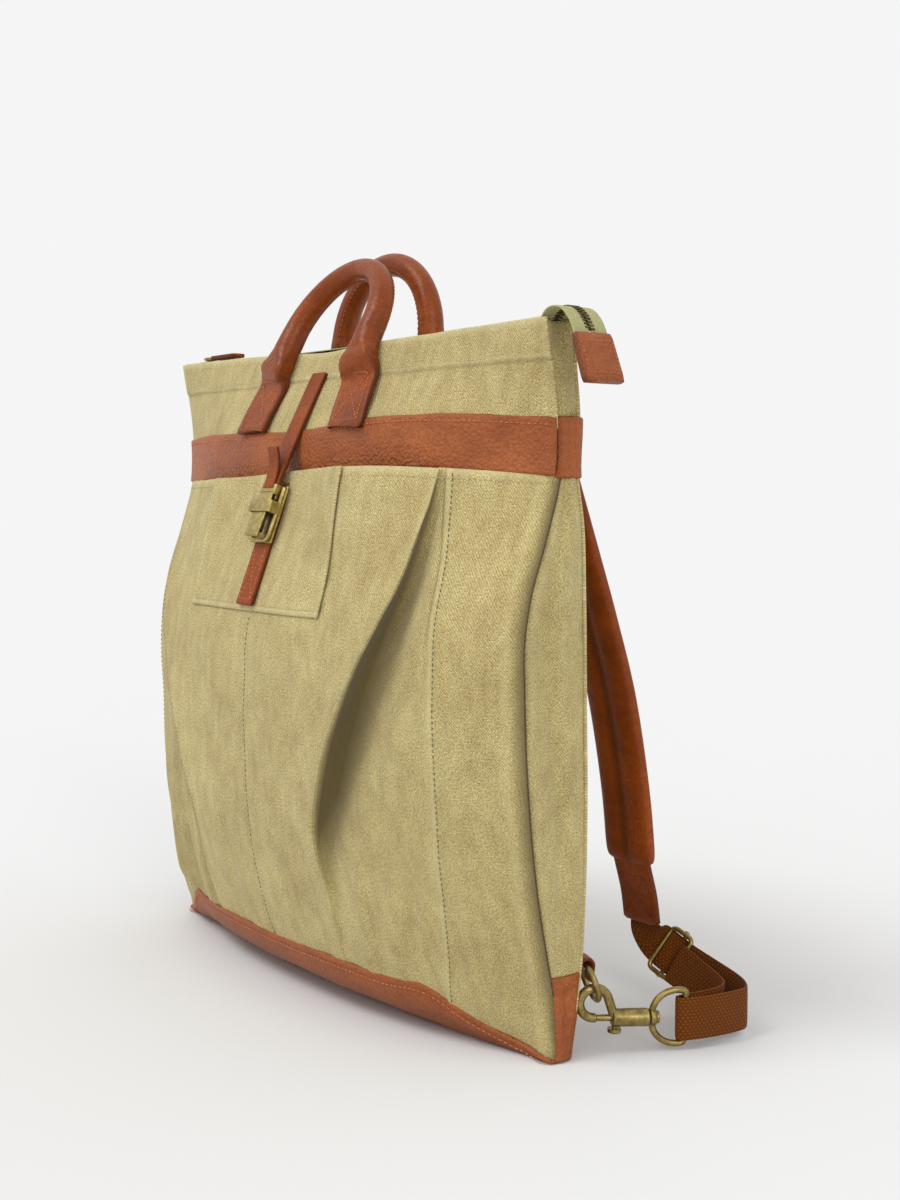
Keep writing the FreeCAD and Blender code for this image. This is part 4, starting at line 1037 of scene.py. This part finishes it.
def teeth_row(name, side, line):
    """Separate cast teeth, each row half a pitch behind the other."""
    steps = distances(line)
    start = 8.0 if side < 0 else 9.1
    verts, faces = [], []
    gap = (SLIDER_X + 204 - 7, SLIDER_X + 204 + 7)
    for at in np.arange(start, steps[-1] - 4.5, 2.2):
        if gap[0] < at < gap[1]:
            continue
        centre = at_distance(line, steps, at)
        ahead = at_distance(line, steps, at + 0.5)
        tangent = (ahead - centre) / np.linalg.norm(ahead - centre)
        up = np.cross(tangent, (0, 1, 0))
        base = len(verts)
        for y in (side * 3.0, side * -0.5):
            wide = 0.52 if abs(y) > 1 else 0.42
            for a, b in CORNERS:
                verts.append(centre + tangent * a * wide + up * b * 1.15 + np.array([0, y, 0]))
        faces += [(base, base + 1, base + 2, base + 3), (base + 7, base + 6, base + 5, base + 4)]
        for k in range(4):
            j = (k + 1) % 4
            faces.append((base + k, base + 4 + k, base + 4 + j, base + j))
    piece = add_mesh(f"zip_teeth_metal_{name}", verts, faces, BRASS_DARK, replaces=(f"zip_teeth_{name}",))
    piece.data.polygons.foreach_set("use_smooth", [False] * len(piece.data.polygons))


def make_puller():
    """Two layers of leather folded through the wire link and stitched."""
    ring = strip_ring(11, 3, 6)
    start = np.array([-178.0, ZIP_Y, 420.5])
    path = [start + np.array([d, 0, 0.0]) for d in (0, 0.8, 3, 18, 31, 33.4, 34)]
    grow = (0.8, 0.95, 1, 1, 1, 0.86, 0.7)
    sections = [np.column_stack([ring[:, 0] * g, ring[:, 1] * min(1, g + 0.1)]) for g in grow]
    loft("zip_puller_leather", path, sections, (0, 1, 0), LEATHER_STRAP, body="zip_pull",
        wear_and_shade=edge_wear(ring), replaces=("zip_puller",))
    box_stitches("zip_puller_stitches", start + np.array([17.5, 0, 1.45]), (0, 1, 0), (1, 0, 0), 8, 29,
        (0, 0, 1), THREAD, cross=False, size=(2.4, 1.6, 0.22), body="zip_pull")


# ------------------------------------------------------------------ top handles


# Stations of a handle's sewn foot (height) and of its leg (height above the pivot); each one goes on with
# the distance outside the leg's line, the two half widths and the distance off the wall.
HANDLE_FOOT = (
    (361.5, 10.0, 16.8, 1.9, 3.2), (362.5, 10.0, 17.4, 2.2, 3.3), (372, 8.2, 17.4, 2.2, 3.3),
    (383, 6.2, 17.2, 2.3, 3.4), (391.5, 4.6, 16.8, 2.6, 3.8), (397, 3.6, 15.2, 4.6, 6.0),
)
HANDLE_LEG = ((3.5, 2.4, 13.8, 6.0, 0.2), (9.5, 1.4, 11.8, 7.2, -0.2), (16.5, 0.6, 10.0, 8.2, 0),
    (25, 0.1, 8.8, 8.6, 0))
HANDLE_RING = 30  # points round a handle


def handle_route(side):
    """One handle's stations from foot to foot: where each one is, and its half widths."""
    if side == "front":
        y_of, sign, lean, pivot, rise, half = band_y, -1, 29, (0, -40.3, 399.5), 76.0, 47.0
    else:
        y_of, sign, lean, pivot, rise, half = back_y, 1, 4, (0, 14.6, 397.0), 74.5, 50.5
    lean, pivot = math.radians(lean), np.array(pivot)
    up = np.array([0, math.sin(lean), math.cos(lean)])
    stations = []
    for z, out, wide, thick, off in HANDLE_FOOT:
        y = float(surface(y_of, np.array(half + out), np.array(z), 0.0, lifted=False)[0][1])
        stations.append(([half + out, y + sign * off, z], wide, thick))
    for above, out, wide, thick, off in HANDLE_LEG:
        stations.append((pivot + np.array([half + out, sign * off, 0]) + up * above, wide, thick))
    for angle in np.linspace(6, 90, 12):
        a = math.radians(angle)
        thick = 8.4 - 0.8 * math.sin(a)
        stations.append((pivot + np.array([half * math.cos(a), 0, 0])
            + up * (rise - half + half * math.sin(a)), thick, thick))
    points = np.array([np.concatenate([p, [w, t]]) for p, w, t in stations])
    left = points * np.array([-1, 1, 1, 1, 1])
    return np.vstack([left, points[-2::-1]]), pivot, up, sign


def make_handle(side):
    """One rolled handle with its flat sewn feet."""
    route, pivot, up, sign = handle_route(side)
    fine = curve_points(route, 210)
    path, wide, thick = fine[:, :3], fine[:, 3], fine[:, 4]
    power = 2.0 + 5.0 * step(9.5, 15.5, wide)
    sections = np.stack([oval(w, t, HANDLE_RING, p) for w, t, p in zip(wide, thick, power)])
    angles = np.linspace(0, 2 * math.pi, HANDLE_RING, endpoint=False)
    seam = math.pi / 2 if sign > 0 else -math.pi / 2
    groove = 0.07 * bell(np.angle(np.exp(1j * (angles - seam))), 0.16)
    on_tube = step(0, 1, (10 - wide) / 2.5)
    sections *= 1 - groove[None, :, None] * on_tube[:, None, None]
    for k in range(len(path)):
        near = step(0.45, 1.0, wide[k] / 15) * (1 - step(14.5, 16.4, wide[k]))
        fold = 1 + 0.018 * near * np.sin(k * 1.1 + 2.6 * np.cos(angles))
        sections[k] *= fold[:, None]
    tangents = unit(np.gradient(path, axis=0))
    facing = np.cross(up, (1, 0, 0))
    sides = unit(np.cross(tangents, np.broadcast_to(facing, tangents.shape)))
    wear_and_shade = np.array([edge_wear(oval(w, t, HANDLE_RING, p)) * step(12, 16, w) for w, t,
        p in zip(wide, thick, power)])
    piece = loft(f"{side}_handle_leather", path, sections, (1, 0, 0), LEATHER_HANDLE, sides=sides,
        wear_and_shade=wear_and_shade, body=None, replaces=(f"{side}_handle_grip", "handle_tabs"))
    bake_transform(piece)

    inward = np.array([0, -sign, 0.0])
    middle = pivot + up * 29
    radial = path - middle
    radial = unit(radial - np.outer(radial @ facing / (facing @ facing), facing))
    lean_in = inward - up * inward.dot(up)
    lean_in /= np.linalg.norm(lean_in)
    direction = lean_in * 0.62 + radial * (0.78 if side == "front" else -0.35)
    direction = unit(direction - tangents * (direction * tangents).sum(1, keepdims=True))
    on_grip = wide < 8.6
    line = path + direction * (wide[:, None] + 0.12)
    stitches(f"{side}_handle_seam", line[on_grip], direction[on_grip], THREAD, size=(3.3, 2.2, 0.36),
        body=f"{side}_handle")
    for name, half in (("left", fine[: len(fine) // 2]), ("right", fine[:len(fine) // 2:-1])):
        foot = half[half[:, 2] < 401]

        def at_height(heights, column):
            return np.interp(heights, foot[:, 2], foot[:, column])

        corners = [(-13.4, 365), (13.4, 365), (12.6, 395), (-12.6, 395)]
        pieces = []
        for k, (a, b) in enumerate(((0, 1), (1, 2), (2, 3), (3, 0), (0, 2), (1, 3))):
            u, z = (np.linspace(corners[a][i], corners[b][i], 20) for i in (0, 1))
            x, y, deep = (at_height(z, i) for i in (0, 1, 4))
            slope = (at_height(z + 1, 1) - at_height(z - 1, 1)) / 2
            normal = unit(np.stack([np.zeros(20), np.full(20, float(sign)), -sign * slope], 1))
            line = np.stack([x + u, y, z], 1) + normal * (deep + 0.12)[:, None]
            pieces.append(stitches(f"box_{k}", line, normal, THREAD, size=(2.7, 1.9, 0.3)))
        join(f"{side}_handle_box_{name}", pieces)


# ------------------------------------------------------------------ front strap and buckle


CLASP_AT, CLASP_TURN = (0, -72.6, 307.3), -21


def at_clasp(points):
    return turned(points, CLASP_AT, CLASP_TURN)


def make_clasp():
    """Leather tab, slotted plate, keeper and the spring tongue that slides through it."""
    normal, up = at_clasp([(0, -1, 0), (0, 0, 1)]) - np.array(CLASP_AT)
    ring = strip_ring(19, 3.0, 7)
    path = at_clasp([(0, 1.7, z) for z in (-59.4, -58.9, -50, -30, 0, 20, 22)])
    loft("clasp_tab_leather", path, [ring * g for g in (0.9, 1, 1, 1, 1, 1, 0.93)], (1, 0, 0),
        LEATHER_STRAP, wear_and_shade=edge_wear(ring), replaces=("clasp_tab",))
    box_stitches("clasp_tab_stitches", at_clasp([(0, 0.15, -39.5)])[0], (1, 0, 0), up, 13.5, 33, normal,
        THREAD, size=(2.9, 2.0, 0.28))

    block("clasp_plate_face", (-12.5, -1.5, -19), (12.5, 0, 19), BRASS, 0.5, at_clasp,
        replaces=("clasp_plate",))
    side = [(-11.0, -2.4, 17.5), (-11.1, -2.6, 8), (-11.1, -2.9, -8), (-10.9, -3.0, -14.5),
        (-9.3, -3.0, -17.2), (-6.5, -3.0, -17.9)]
    full = side + [(0, -3.0, -18.0)] + [(-x, y, z) for x, y, z in side[::-1]]
    loft("clasp_plate_rim", at_clasp(curve_points(full, 90)), oval(1.6, 1.45, 14), (0, -1, 0), BRASS)
    for name, x in (("left", -6.2), ("right", 6.2)):
        block(f"clasp_plate_post_{name}", (x - 1.1, -5.2, 8.5), (x + 1.1, -1.0, 17.2), BRASS, 0.7, at_clasp)

    outer = [(-11.9, -0.6), (-11.9, -9.2), (-11.2, -9.9), (11.2, -9.9), (11.9, -9.2), (11.9, -0.6),
        (11.2, 0.1), (-11.2, 0.1)]
    dense = []
    for (x0, y0), (x1, y1) in zip(outer, outer[1:] + outer[:1]):
        dense += [(x0 + (x1 - x0) * t, y0 + (y1 - y0) * t) for t in np.linspace(0, 1, 8, endpoint=False)]
    path = at_clasp([(x, y, 3.0) for x, y in dense])
    band = oval(4.0, 0.62, 22, 5.0)
    grooved = band.copy()
    grooved[:, 1] *= 1 - 0.22 * (np.abs(np.abs(band[:, 0]) - 2.4) < 0.5)
    loft("clasp_keeper_band", path, grooved, up, BRASS, closed=True, replaces=("clasp_keeper",))

    def sloped(points):
        """The tongue's plate stands further out towards its tip."""
        points = points.copy()
        points[:, 1] -= 1.7 * np.clip((12 - points[:, 2]) / 29, 0, 1)
        return points

    tongue = {"body": "clasp_tongue"}
    block("clasp_tongue_plate", (-7.8, -8.2, -17.2), (7.8, -6.9, 12.5), BRASS, 0.5, at_clasp, sloped,
        replaces=("clasp_tongue",), **tongue)
    block("clasp_tongue_lip", (-7.8, -8.2, -17.2), (7.8, -5.4, -15.6), BRASS, 0.6, at_clasp, sloped,
        **tongue)
    block("clasp_tongue_cap", (-8.5, -7.9, 11.4), (8.5, -2.6, 18.4), BRASS, 0.7, at_clasp, **tongue)
    block("clasp_tongue_ridge", (-8.2, -8.5, 12.6), (8.2, -7.0, 14.0), BRASS, 0.5, at_clasp, **tongue)
    block("clasp_tongue_spring", (-3.6, -5.6, -13.5), (3.6, -4.0, 12.0), BRASS_DARK, 0.6, at_clasp,
        **tongue)
    make_closure_strap()


def make_closure_strap():
    """The strap from the rim to the tongue, with its folded tail."""
    end, near = at_clasp([(0, -5.2, 16.5), (0, -5.0, 27)])
    route = [(0, -34.8, 397.6), (0, -37.2, 393.5), (0, -43.8, 381), (0, -50.4, 368.5), (0, -57.2, 355),
        (0, -64.6, 340), near, end]
    path = curve_points(route, 70)
    ring = strip_ring(16, 3.0, 7)
    strap = loft("closure_strap_leather", path, ring, (1, 0, 0), LEATHER_STRAP, wear_and_shade=edge_wear(ring),
        body=None, replaces=("closure_strap",))
    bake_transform(strap)
    path = curve_points(at_clasp([(0, -7.6, 15.5), (0, -7.6, 24), (0, -9.4, 33), (0, -13.5, 41)]), 26)
    ring = strip_ring(12, 2.0, 7)
    loft("closure_strap_fold", path, ring, (1, 0, 0), LEATHER_STRAP, body="clasp_tongue",
        wear_and_shade=edge_wear(ring))
    for name, x in (("left", -5.6), ("right", 5.6)):
        line = np.array([(x, -34.9, 397), (x, -41.9, 384)], float)
        stitches(f"closure_stitches_{name}", line + np.array([0, -1.35, -0.6]), [(0, -0.9, -0.43)] * 2,
            THREAD, size=(2.8, 1.8, 0.25))


# ------------------------------------------------------------------ shoulder straps, built at both sides


SIDES = (("right", 1), ("left", -1))
PAD_LINE = ((20, 341), (27, 322), (41, 285), (55, 247), (71, 198), (83, 140), (89, 92))
WEBBING_LINE = (
    ((162, 98, 58), (1, -0.1, 0)), ((163, 99.5, 54.3), (1, -0.1, 0)), ((164, 103, 46), (0.9, 0.25, 0.4)),
    ((169, 107, 39), (0.5, 0.5, 0.7)), ((178, 109.5, 33.5), (0.12, 0.5, 0.86)), ((189, 111.2, 29), (0.1, 0.4, 0.9)),
    ((205, 113, 24.5), (0, 0.25, 0.96)), ((224, 113.5, 20.5), (0, 0.1, 1)), ((236, 111.5, 18.5), (0, 0, 1)),
    ((243, 105.5, 18), (0, 0, 1)), ((244.5, 97, 18), (0, 0, 1)), ((243, 80, 18.2), (0, 0, 1)),
    ((239.5, 64, 18.5), (0, 0, 1)), ((236.5, 58, 18.5), (0, 0, 1)), ((232.8, 58.2, 18.5), (0, 0, 1)),
    ((231.8, 62, 18.5), (0, 0, 1)), ((234, 76, 18.5), (0, 0, 1)), ((235, 90, 18.6), (0, 0, 1)),
    ((230, 99.5, 19), (0, 0.05, 1)), ((218, 103.5, 21), (0, 0.1, 1)), ((200, 104.5, 25.5), (0, 0.25, 0.96)),
    ((184.5, 104.6, 30.5), (0.1, 0.4, 0.9)),
)
SLIDER = ((178, 109.5, 33.5), (0.92, 0.13, -0.37), (0.12, 0.5, 0.86))
SNAP = ((216, 22.6, 21.3), (0.454, 0.889, -0.042), (0, 0, 1))


def flip(points, sign):
    """The same points at the right (1) or mirrored to the left (-1)."""
    return np.asarray(points, float) * np.array([sign, 1, 1])


def from_frame(frame_facts, points, sign):
    """Points from a fitting's own frame (x along, z up) to the bag."""
    origin, along, up = (np.asarray(v, float) for v in frame_facts)
    x = along / np.linalg.norm(along)
    z = up - x * up.dot(x)
    z /= np.linalg.norm(z)
    y = np.cross(z, x)
    points = np.asarray(points, float)
    return flip(origin + points[..., :1] * x + points[..., 1:2] * y + points[..., 2:] * z, sign)


def turned_axis(frame_facts, axis, sign):
    """One axis of a fitting's own frame, as a direction at the bag."""
    return from_frame(frame_facts, [axis], sign)[0] - from_frame(frame_facts, [(0, 0, 0)], sign)[0]


def pad_ring(count):
    """Section of the pad: two lobes that meet in a sewn valley."""
    ring = oval(20, 5.2, count, 3.2)
    valley = bell(ring[:, 0], 3.2)
    ring[:, 1] *= 1 - 0.42 * valley
    return ring


def make_pad(name, sign):
    """The stuffed part of a shoulder strap; returns its middle line."""
    rows, columns = 60, 44
    stations = curve_points([(162 * sign, y, z) for y, z in PAD_LINE], rows)
    ring = pad_ring(columns)
    ends = np.ones(rows)
    ends[:3], ends[-3:] = (0.55, 0.86, 0.97), (0.97, 0.88, 0.5)
    sections = np.stack([np.column_stack([ring[:, 0] * (0.86 + 0.14 * e), ring[:, 1] * e]) for e in ends])
    # The wear_and_shade line down the middle of each face is painted shade in the pad's sewn valley.
    pad = loft(f"{name}_strap_pad", stations, sections, (1, 0, 0), LEATHER_DARK,
        wear_and_shade=0.8 * bell(ring[:, 0], 1.5), body=None,
        replaces=(f"{name}_strap_cover", f"{name}_strap_foam"))
    seam = [k for k in range(columns) if abs(ring[k, 0]) < 1.6 or abs(ring[k, 0]) > 19.6]
    pinned = [row * columns + k for row in range(rows) for k in seam]
    pinned += [row * columns + k for row in (0, 1, rows - 2, rows - 1) for k in range(columns)]
    pinned += [rows * columns, rows * columns + 1]
    inflate(pad, sorted(set(pinned)))
    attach(pad, "bag")
    return stations


def inflate(piece, pinned):
    """Stuff a closed cover: cloth under pressure, held at its seams."""
    group = piece.vertex_groups.new(name="sewn")
    group.add(pinned, 1.0, "REPLACE")
    before = np.array([v.co[:] for v in piece.data.vertices])
    cloth = piece.modifiers.new("stuffing", "CLOTH")
    settings = cloth.settings
    settings.quality = 6
    settings.mass = 0.25
    settings.tension_stiffness = settings.compression_stiffness = 18
    settings.shear_stiffness = 8
    settings.bending_stiffness = 1.2
    settings.use_pressure = True
    settings.uniform_pressure_force = 3.5
    settings.vertex_group_mass = "sewn"
    settings.effector_weights.gravity = 0
    cloth.collision_settings.use_collision = False
    scene = bpy.context.scene
    scene.frame_start, scene.frame_end = 1, 20
    for number in range(1, 21):
        scene.frame_set(number)
    evaluated = piece.evaluated_get(bpy.context.evaluated_depsgraph_get())
    after = np.array([v.co[:] for v in evaluated.data.vertices])
    move = after - before
    length = np.linalg.norm(move, axis=1, keepdims=True)
    move *= np.minimum(1, 2.4 * MM / np.maximum(length, 1e-9))
    scene.frame_set(1)
    piece.modifiers.remove(cloth)
    piece.data.vertices.foreach_set("co", (before + move).ravel())
    piece.data.update()
    bpy.context.view_layer.objects.active = piece
    smooth = piece.modifiers.new("round", "SUBSURF")
    smooth.levels = smooth.render_levels = 1
    bpy.ops.object.select_all(action="DESELECT")
    piece.select_set(True)
    bpy.ops.object.modifier_apply(modifier="round")


def make_strap(name, sign):
    """One shoulder strap: pad, leather tab, webbing and fittings."""
    stations = make_pad(name, sign)
    up = frames_along(stations, (1, 0, 0))[2]
    inner = up if up[30][1] < 0 else -up
    keep = slice(3, -2)
    stitches(f"{name}_pad_seam", (stations + inner * 3.2)[keep], inner[keep], THREAD_BROWN,
        size=(3.4, 2.3, 0.3))
    ring = strip_ring(30, 5.0, 6)
    route = [(162, 88.6, 97), (162, 90, 91), (162, 95.6, 72), (162, 98.6, 54.5), (162, 98.9, 53)]
    path = flip(curve_points(route, 24), sign)
    grow = np.ones(24)
    grow[-1] = 0.9
    loft(f"{name}_strap_tab_leather", path, np.stack([ring * g for g in grow]), (1, 0, 0), LEATHER_DARK,
        wear_and_shade=edge_wear(ring), replaces=(f"{name}_strap_tab",))
    along = path[-3] - path[6]
    for face, turn in (("in", -1), ("out", 1)):
        normal = np.cross(along, (1, 0, 0))
        normal = normal / np.linalg.norm(normal)
        normal = normal if normal[1] * turn > 0 else -normal
        box_stitches(f"{name}_tab_stitches_{face}", (path[6] + path[-3]) / 2 + normal * 2.55, (1, 0, 0),
            along, 23, 27, normal, THREAD_BROWN, size=(2.8, 1.9, 0.26))

    points = np.array([p for p, _ in WEBBING_LINE], float)
    across = np.array([np.array(w, float) / np.linalg.norm(w) for _, w in WEBBING_LINE])
    fine = curve_points(np.hstack([points, across * 5]), 240)
    path = flip(fine[:, :3], sign)
    loft(f"{name}_webbing_band", path, strip_ring(25, 1.7, 5, 36), across[0], WEBBING,
        sides=flip(fine[:, 3:], sign) * (1 if sign > 0 else -1), replaces=(f"{name}_webbing",))
    make_fittings(name, sign)


def rounded_loop(corners, radius):
    """A closed path through flat corners, each one rounded."""
    corners = [np.array(c, float) for c in corners]
    path = []
    for k, corner in enumerate(corners):
        before, after = corners[k - 1] - corner, corners[(k + 1) % len(corners)] - corner
        before, after = before / np.linalg.norm(before), after / np.linalg.norm(after)
        first, last = corner + before * radius, corner + after * radius
        for t in np.linspace(0, 1, 8):
            path.append(first * (1 - t) ** 2 + corner * 2 * t * (1 - t) + last * t * t)
        following = corners[(k + 1) % len(corners)] - after * radius
        for t in np.linspace(0, 1, 6)[1:-1]:
            path.append(last * (1 - t) + following * t)
    return np.array(path)


def make_fittings(name, sign):
    """Strap slider, the snap hook's eye and the leather loop that holds the ring."""
    clear, tall, long = 2.8, 16.1, 9.5
    wide, high = long - 1.5, tall - 1.5
    corners = [(-wide, -clear, -high), (wide, -clear, -high), (wide, -clear, high), (-wide, -clear, high)]
    loop = from_frame(SLIDER, rounded_loop(corners, 4.0), sign)
    wire = oval(1.5, 1.5, 12)
    loft(f"{name}_slider_frame", loop, wire, turned_axis(SLIDER, (0, 1, 0), sign), BRASS_OLD, closed=True,
        replaces=(f"{name}_slider",))
    bar = [(0, -clear, -high), (0, clear * 0.3, -tall + 0.6), (0, clear, -tall + 2.2), (0, clear, 0),
        (0, clear, tall - 2.2), (0, clear * 0.3, tall - 0.6), (0, -clear, high)]
    loft(f"{name}_slider_bar", from_frame(SLIDER, curve_points(bar, 50), sign), wire,
        turned_axis(SLIDER, (1, 0, 0), sign), BRASS_OLD)

    near, far, reach = 22.4, 46.0, 15.5
    top = [(near + 1.8, 0, 2.2), (near + 2.0, 0, 5.2), (near + 4.2, 0, 9.8), (near + 8.5, 0, 13.6),
        (near + 14, 0, reach), (far - 5, 0, reach + 0.1), (far - 2.6, 0, reach - 0.8),
        (far - 2, 0, reach - 3.2), (far - 2, 0, 5)]
    low = [(x, y, -z) for x, y, z in top[::-1]]
    loop = curve_points(top + low, 110, closed=True)
    loft(f"{name}_snap_eye_wire", from_frame(SNAP, loop, sign), oval(2.0, 1.95, 14),
        turned_axis(SNAP, (0, 1, 0), sign), BRASS_OLD, closed=True, replaces=(f"{name}_snap_eye",))
    boss = [(near + 0.1, 3.0), (near + 0.1, 4.6), (near + 0.7, 5.2), (near + 3.0, 5.2), (near + 3.7, 4.6),
        (near + 3.7, 3.0)]
    turned_ring(f"{name}_snap_eye_boss", boss, sign)

    inner = 3.85
    legs = [(0, -inner, -9.2), (0, -inner, -4), (0, -inner, 0)]
    legs += [(0, -inner * math.cos(a), inner * math.sin(a)) for a in np.linspace(0.3, math.pi - 0.3, 9)]
    legs += [(0, inner, 0), (0, inner, -4), (0, inner, -9.2)]
    path = loop_place(curve_points(legs, 44), sign)
    ring = strip_ring(12, 2.0, 5)
    loft(f"{name}_ring_loop_leather", path, ring,
        loop_place([(1, 0, 0)], sign)[0] - loop_place([(0, 0, 0)], sign)[0], LEATHER_DARK,
        wear_and_shade=edge_wear(ring), replaces=(f"{name}_ring_loop",))


def loop_place(points, sign):
    """From the ring loop's own frame, leaning back and turned with the bag's corner."""
    points = turned(points, (0, 0, 0), -8)
    turn = math.radians(-22)
    x = points[..., 0] * math.cos(turn) - points[..., 1] * math.sin(turn)
    y = points[..., 0] * math.sin(turn) + points[..., 1] * math.cos(turn)
    tilt = math.radians(108)
    up = np.array([0, 11.2 * math.cos(tilt), 11.2 * math.sin(tilt)])
    top = np.array([206 - up[1] * math.sin(turn), 14.9 + up[1] * math.cos(turn), 41.6 + up[2]])
    return flip(np.stack([x, y, points[..., 2]], -1) + top, sign)


def turned_ring(name, profile, sign):
    """A ring turned about the snap hook's axis, from (along, radius) pairs."""
    count = 28
    angles = np.linspace(0, 2 * math.pi, count, endpoint=False)
    points = np.array([[(x, r * math.cos(a), r * math.sin(a)) for a in angles] for x, r in profile])
    rows = len(profile)
    verts = from_frame(SNAP, points.reshape(-1, 3), sign)
    faces = []
    for r in range(rows):
        s = (r + 1) % rows
        for c in range(count):
            d = (c + 1) % count
            quad = (r * count + c, r * count + d, s * count + d, s * count + c)
            faces.append(quad if sign > 0 else quad[::-1])
    return add_mesh(name, verts, faces, BRASS_OLD)


make_zipper()
make_handle("front")
make_handle("back")
make_clasp()
for side_name, side_sign in SIDES:
    make_strap(side_name, side_sign)


# ------------------------------------------------------------------ CAD parts, stage, light and camera


def dress_nodes():
    """Better materials on the CAD nodes that stay."""
    looks = {"leather": LEATHER, "canvas": CANVAS_SHADED, "antique_brass": BRASS_OLD, "lining_cloth": CANVAS_SHADED,
        "zip_tape": TAPE, "webbing": WEBBING, "board": CANVAS_SHADED, "foam": CANVAS_SHADED, "cord": CANVAS_SHADED,
        "spring_steel": BRASS_DARK}
    for node, obj in frame["nodes"].items():
        slot = next(s["material_slot"] for s in frame["record"]["subparts"] if s["node"] == node)
        obj.data.materials.clear()
        obj.data.materials.append(looks[slot])


def soft_sun(name, place, strength, spread):
    light = bpy.data.lights.new(name, "SUN")
    light.energy, light.angle = strength, spread
    obj = bpy.data.objects.new(name, light)
    bpy.context.scene.collection.objects.link(obj)
    obj.rotation_euler = (-Vector(place)).to_track_quat("-Z", "Y").to_euler()


def make_stage():
    """Pale floor, even surroundings and two soft suns."""
    mesh = bpy.data.meshes.new("floor")
    mesh.from_pydata([(-9, -9, 0), (9, -9, 0), (9, 9, 0), (-9, 9, 0)], [], [(0, 1, 2, 3)])
    floor = bpy.data.objects.new("floor", mesh)
    floor.data.materials.append(floor_material())
    bpy.context.scene.collection.objects.link(floor)
    world = bpy.data.worlds.new("studio")
    world.use_nodes = True
    back = world.node_tree.nodes["Background"]
    back.inputs["Color"].default_value = (0.915, 0.915, 0.915, 1)
    back.inputs["Strength"].default_value = 1.0
    bpy.context.scene.world = world
    soft_sun("key", (-0.5, -1.7, 2.4), 1.2, 0.4)
    soft_sun("side", (2.0, -0.7, 1.0), 0.6, 0.4)


def make_camera():
    turn, pitch = math.radians(52.925), math.radians(4.046)
    camera = bpy.data.cameras.new("camera")
    camera.lens = 46.79
    obj = bpy.data.objects.new("camera", camera)
    obj.location = (0.8586, -0.5790, 0.3233)
    look = Vector((-math.sin(turn) * math.cos(pitch), math.cos(turn) * math.cos(pitch), -math.sin(pitch)))
    obj.rotation_euler = look.to_track_quat("-Z", "Y").to_euler()
    bpy.context.scene.collection.objects.link(obj)
    bpy.context.scene.camera = obj


bpy.context.scene.view_settings.view_transform = "Standard"
dress_nodes()
make_stage()
make_camera()
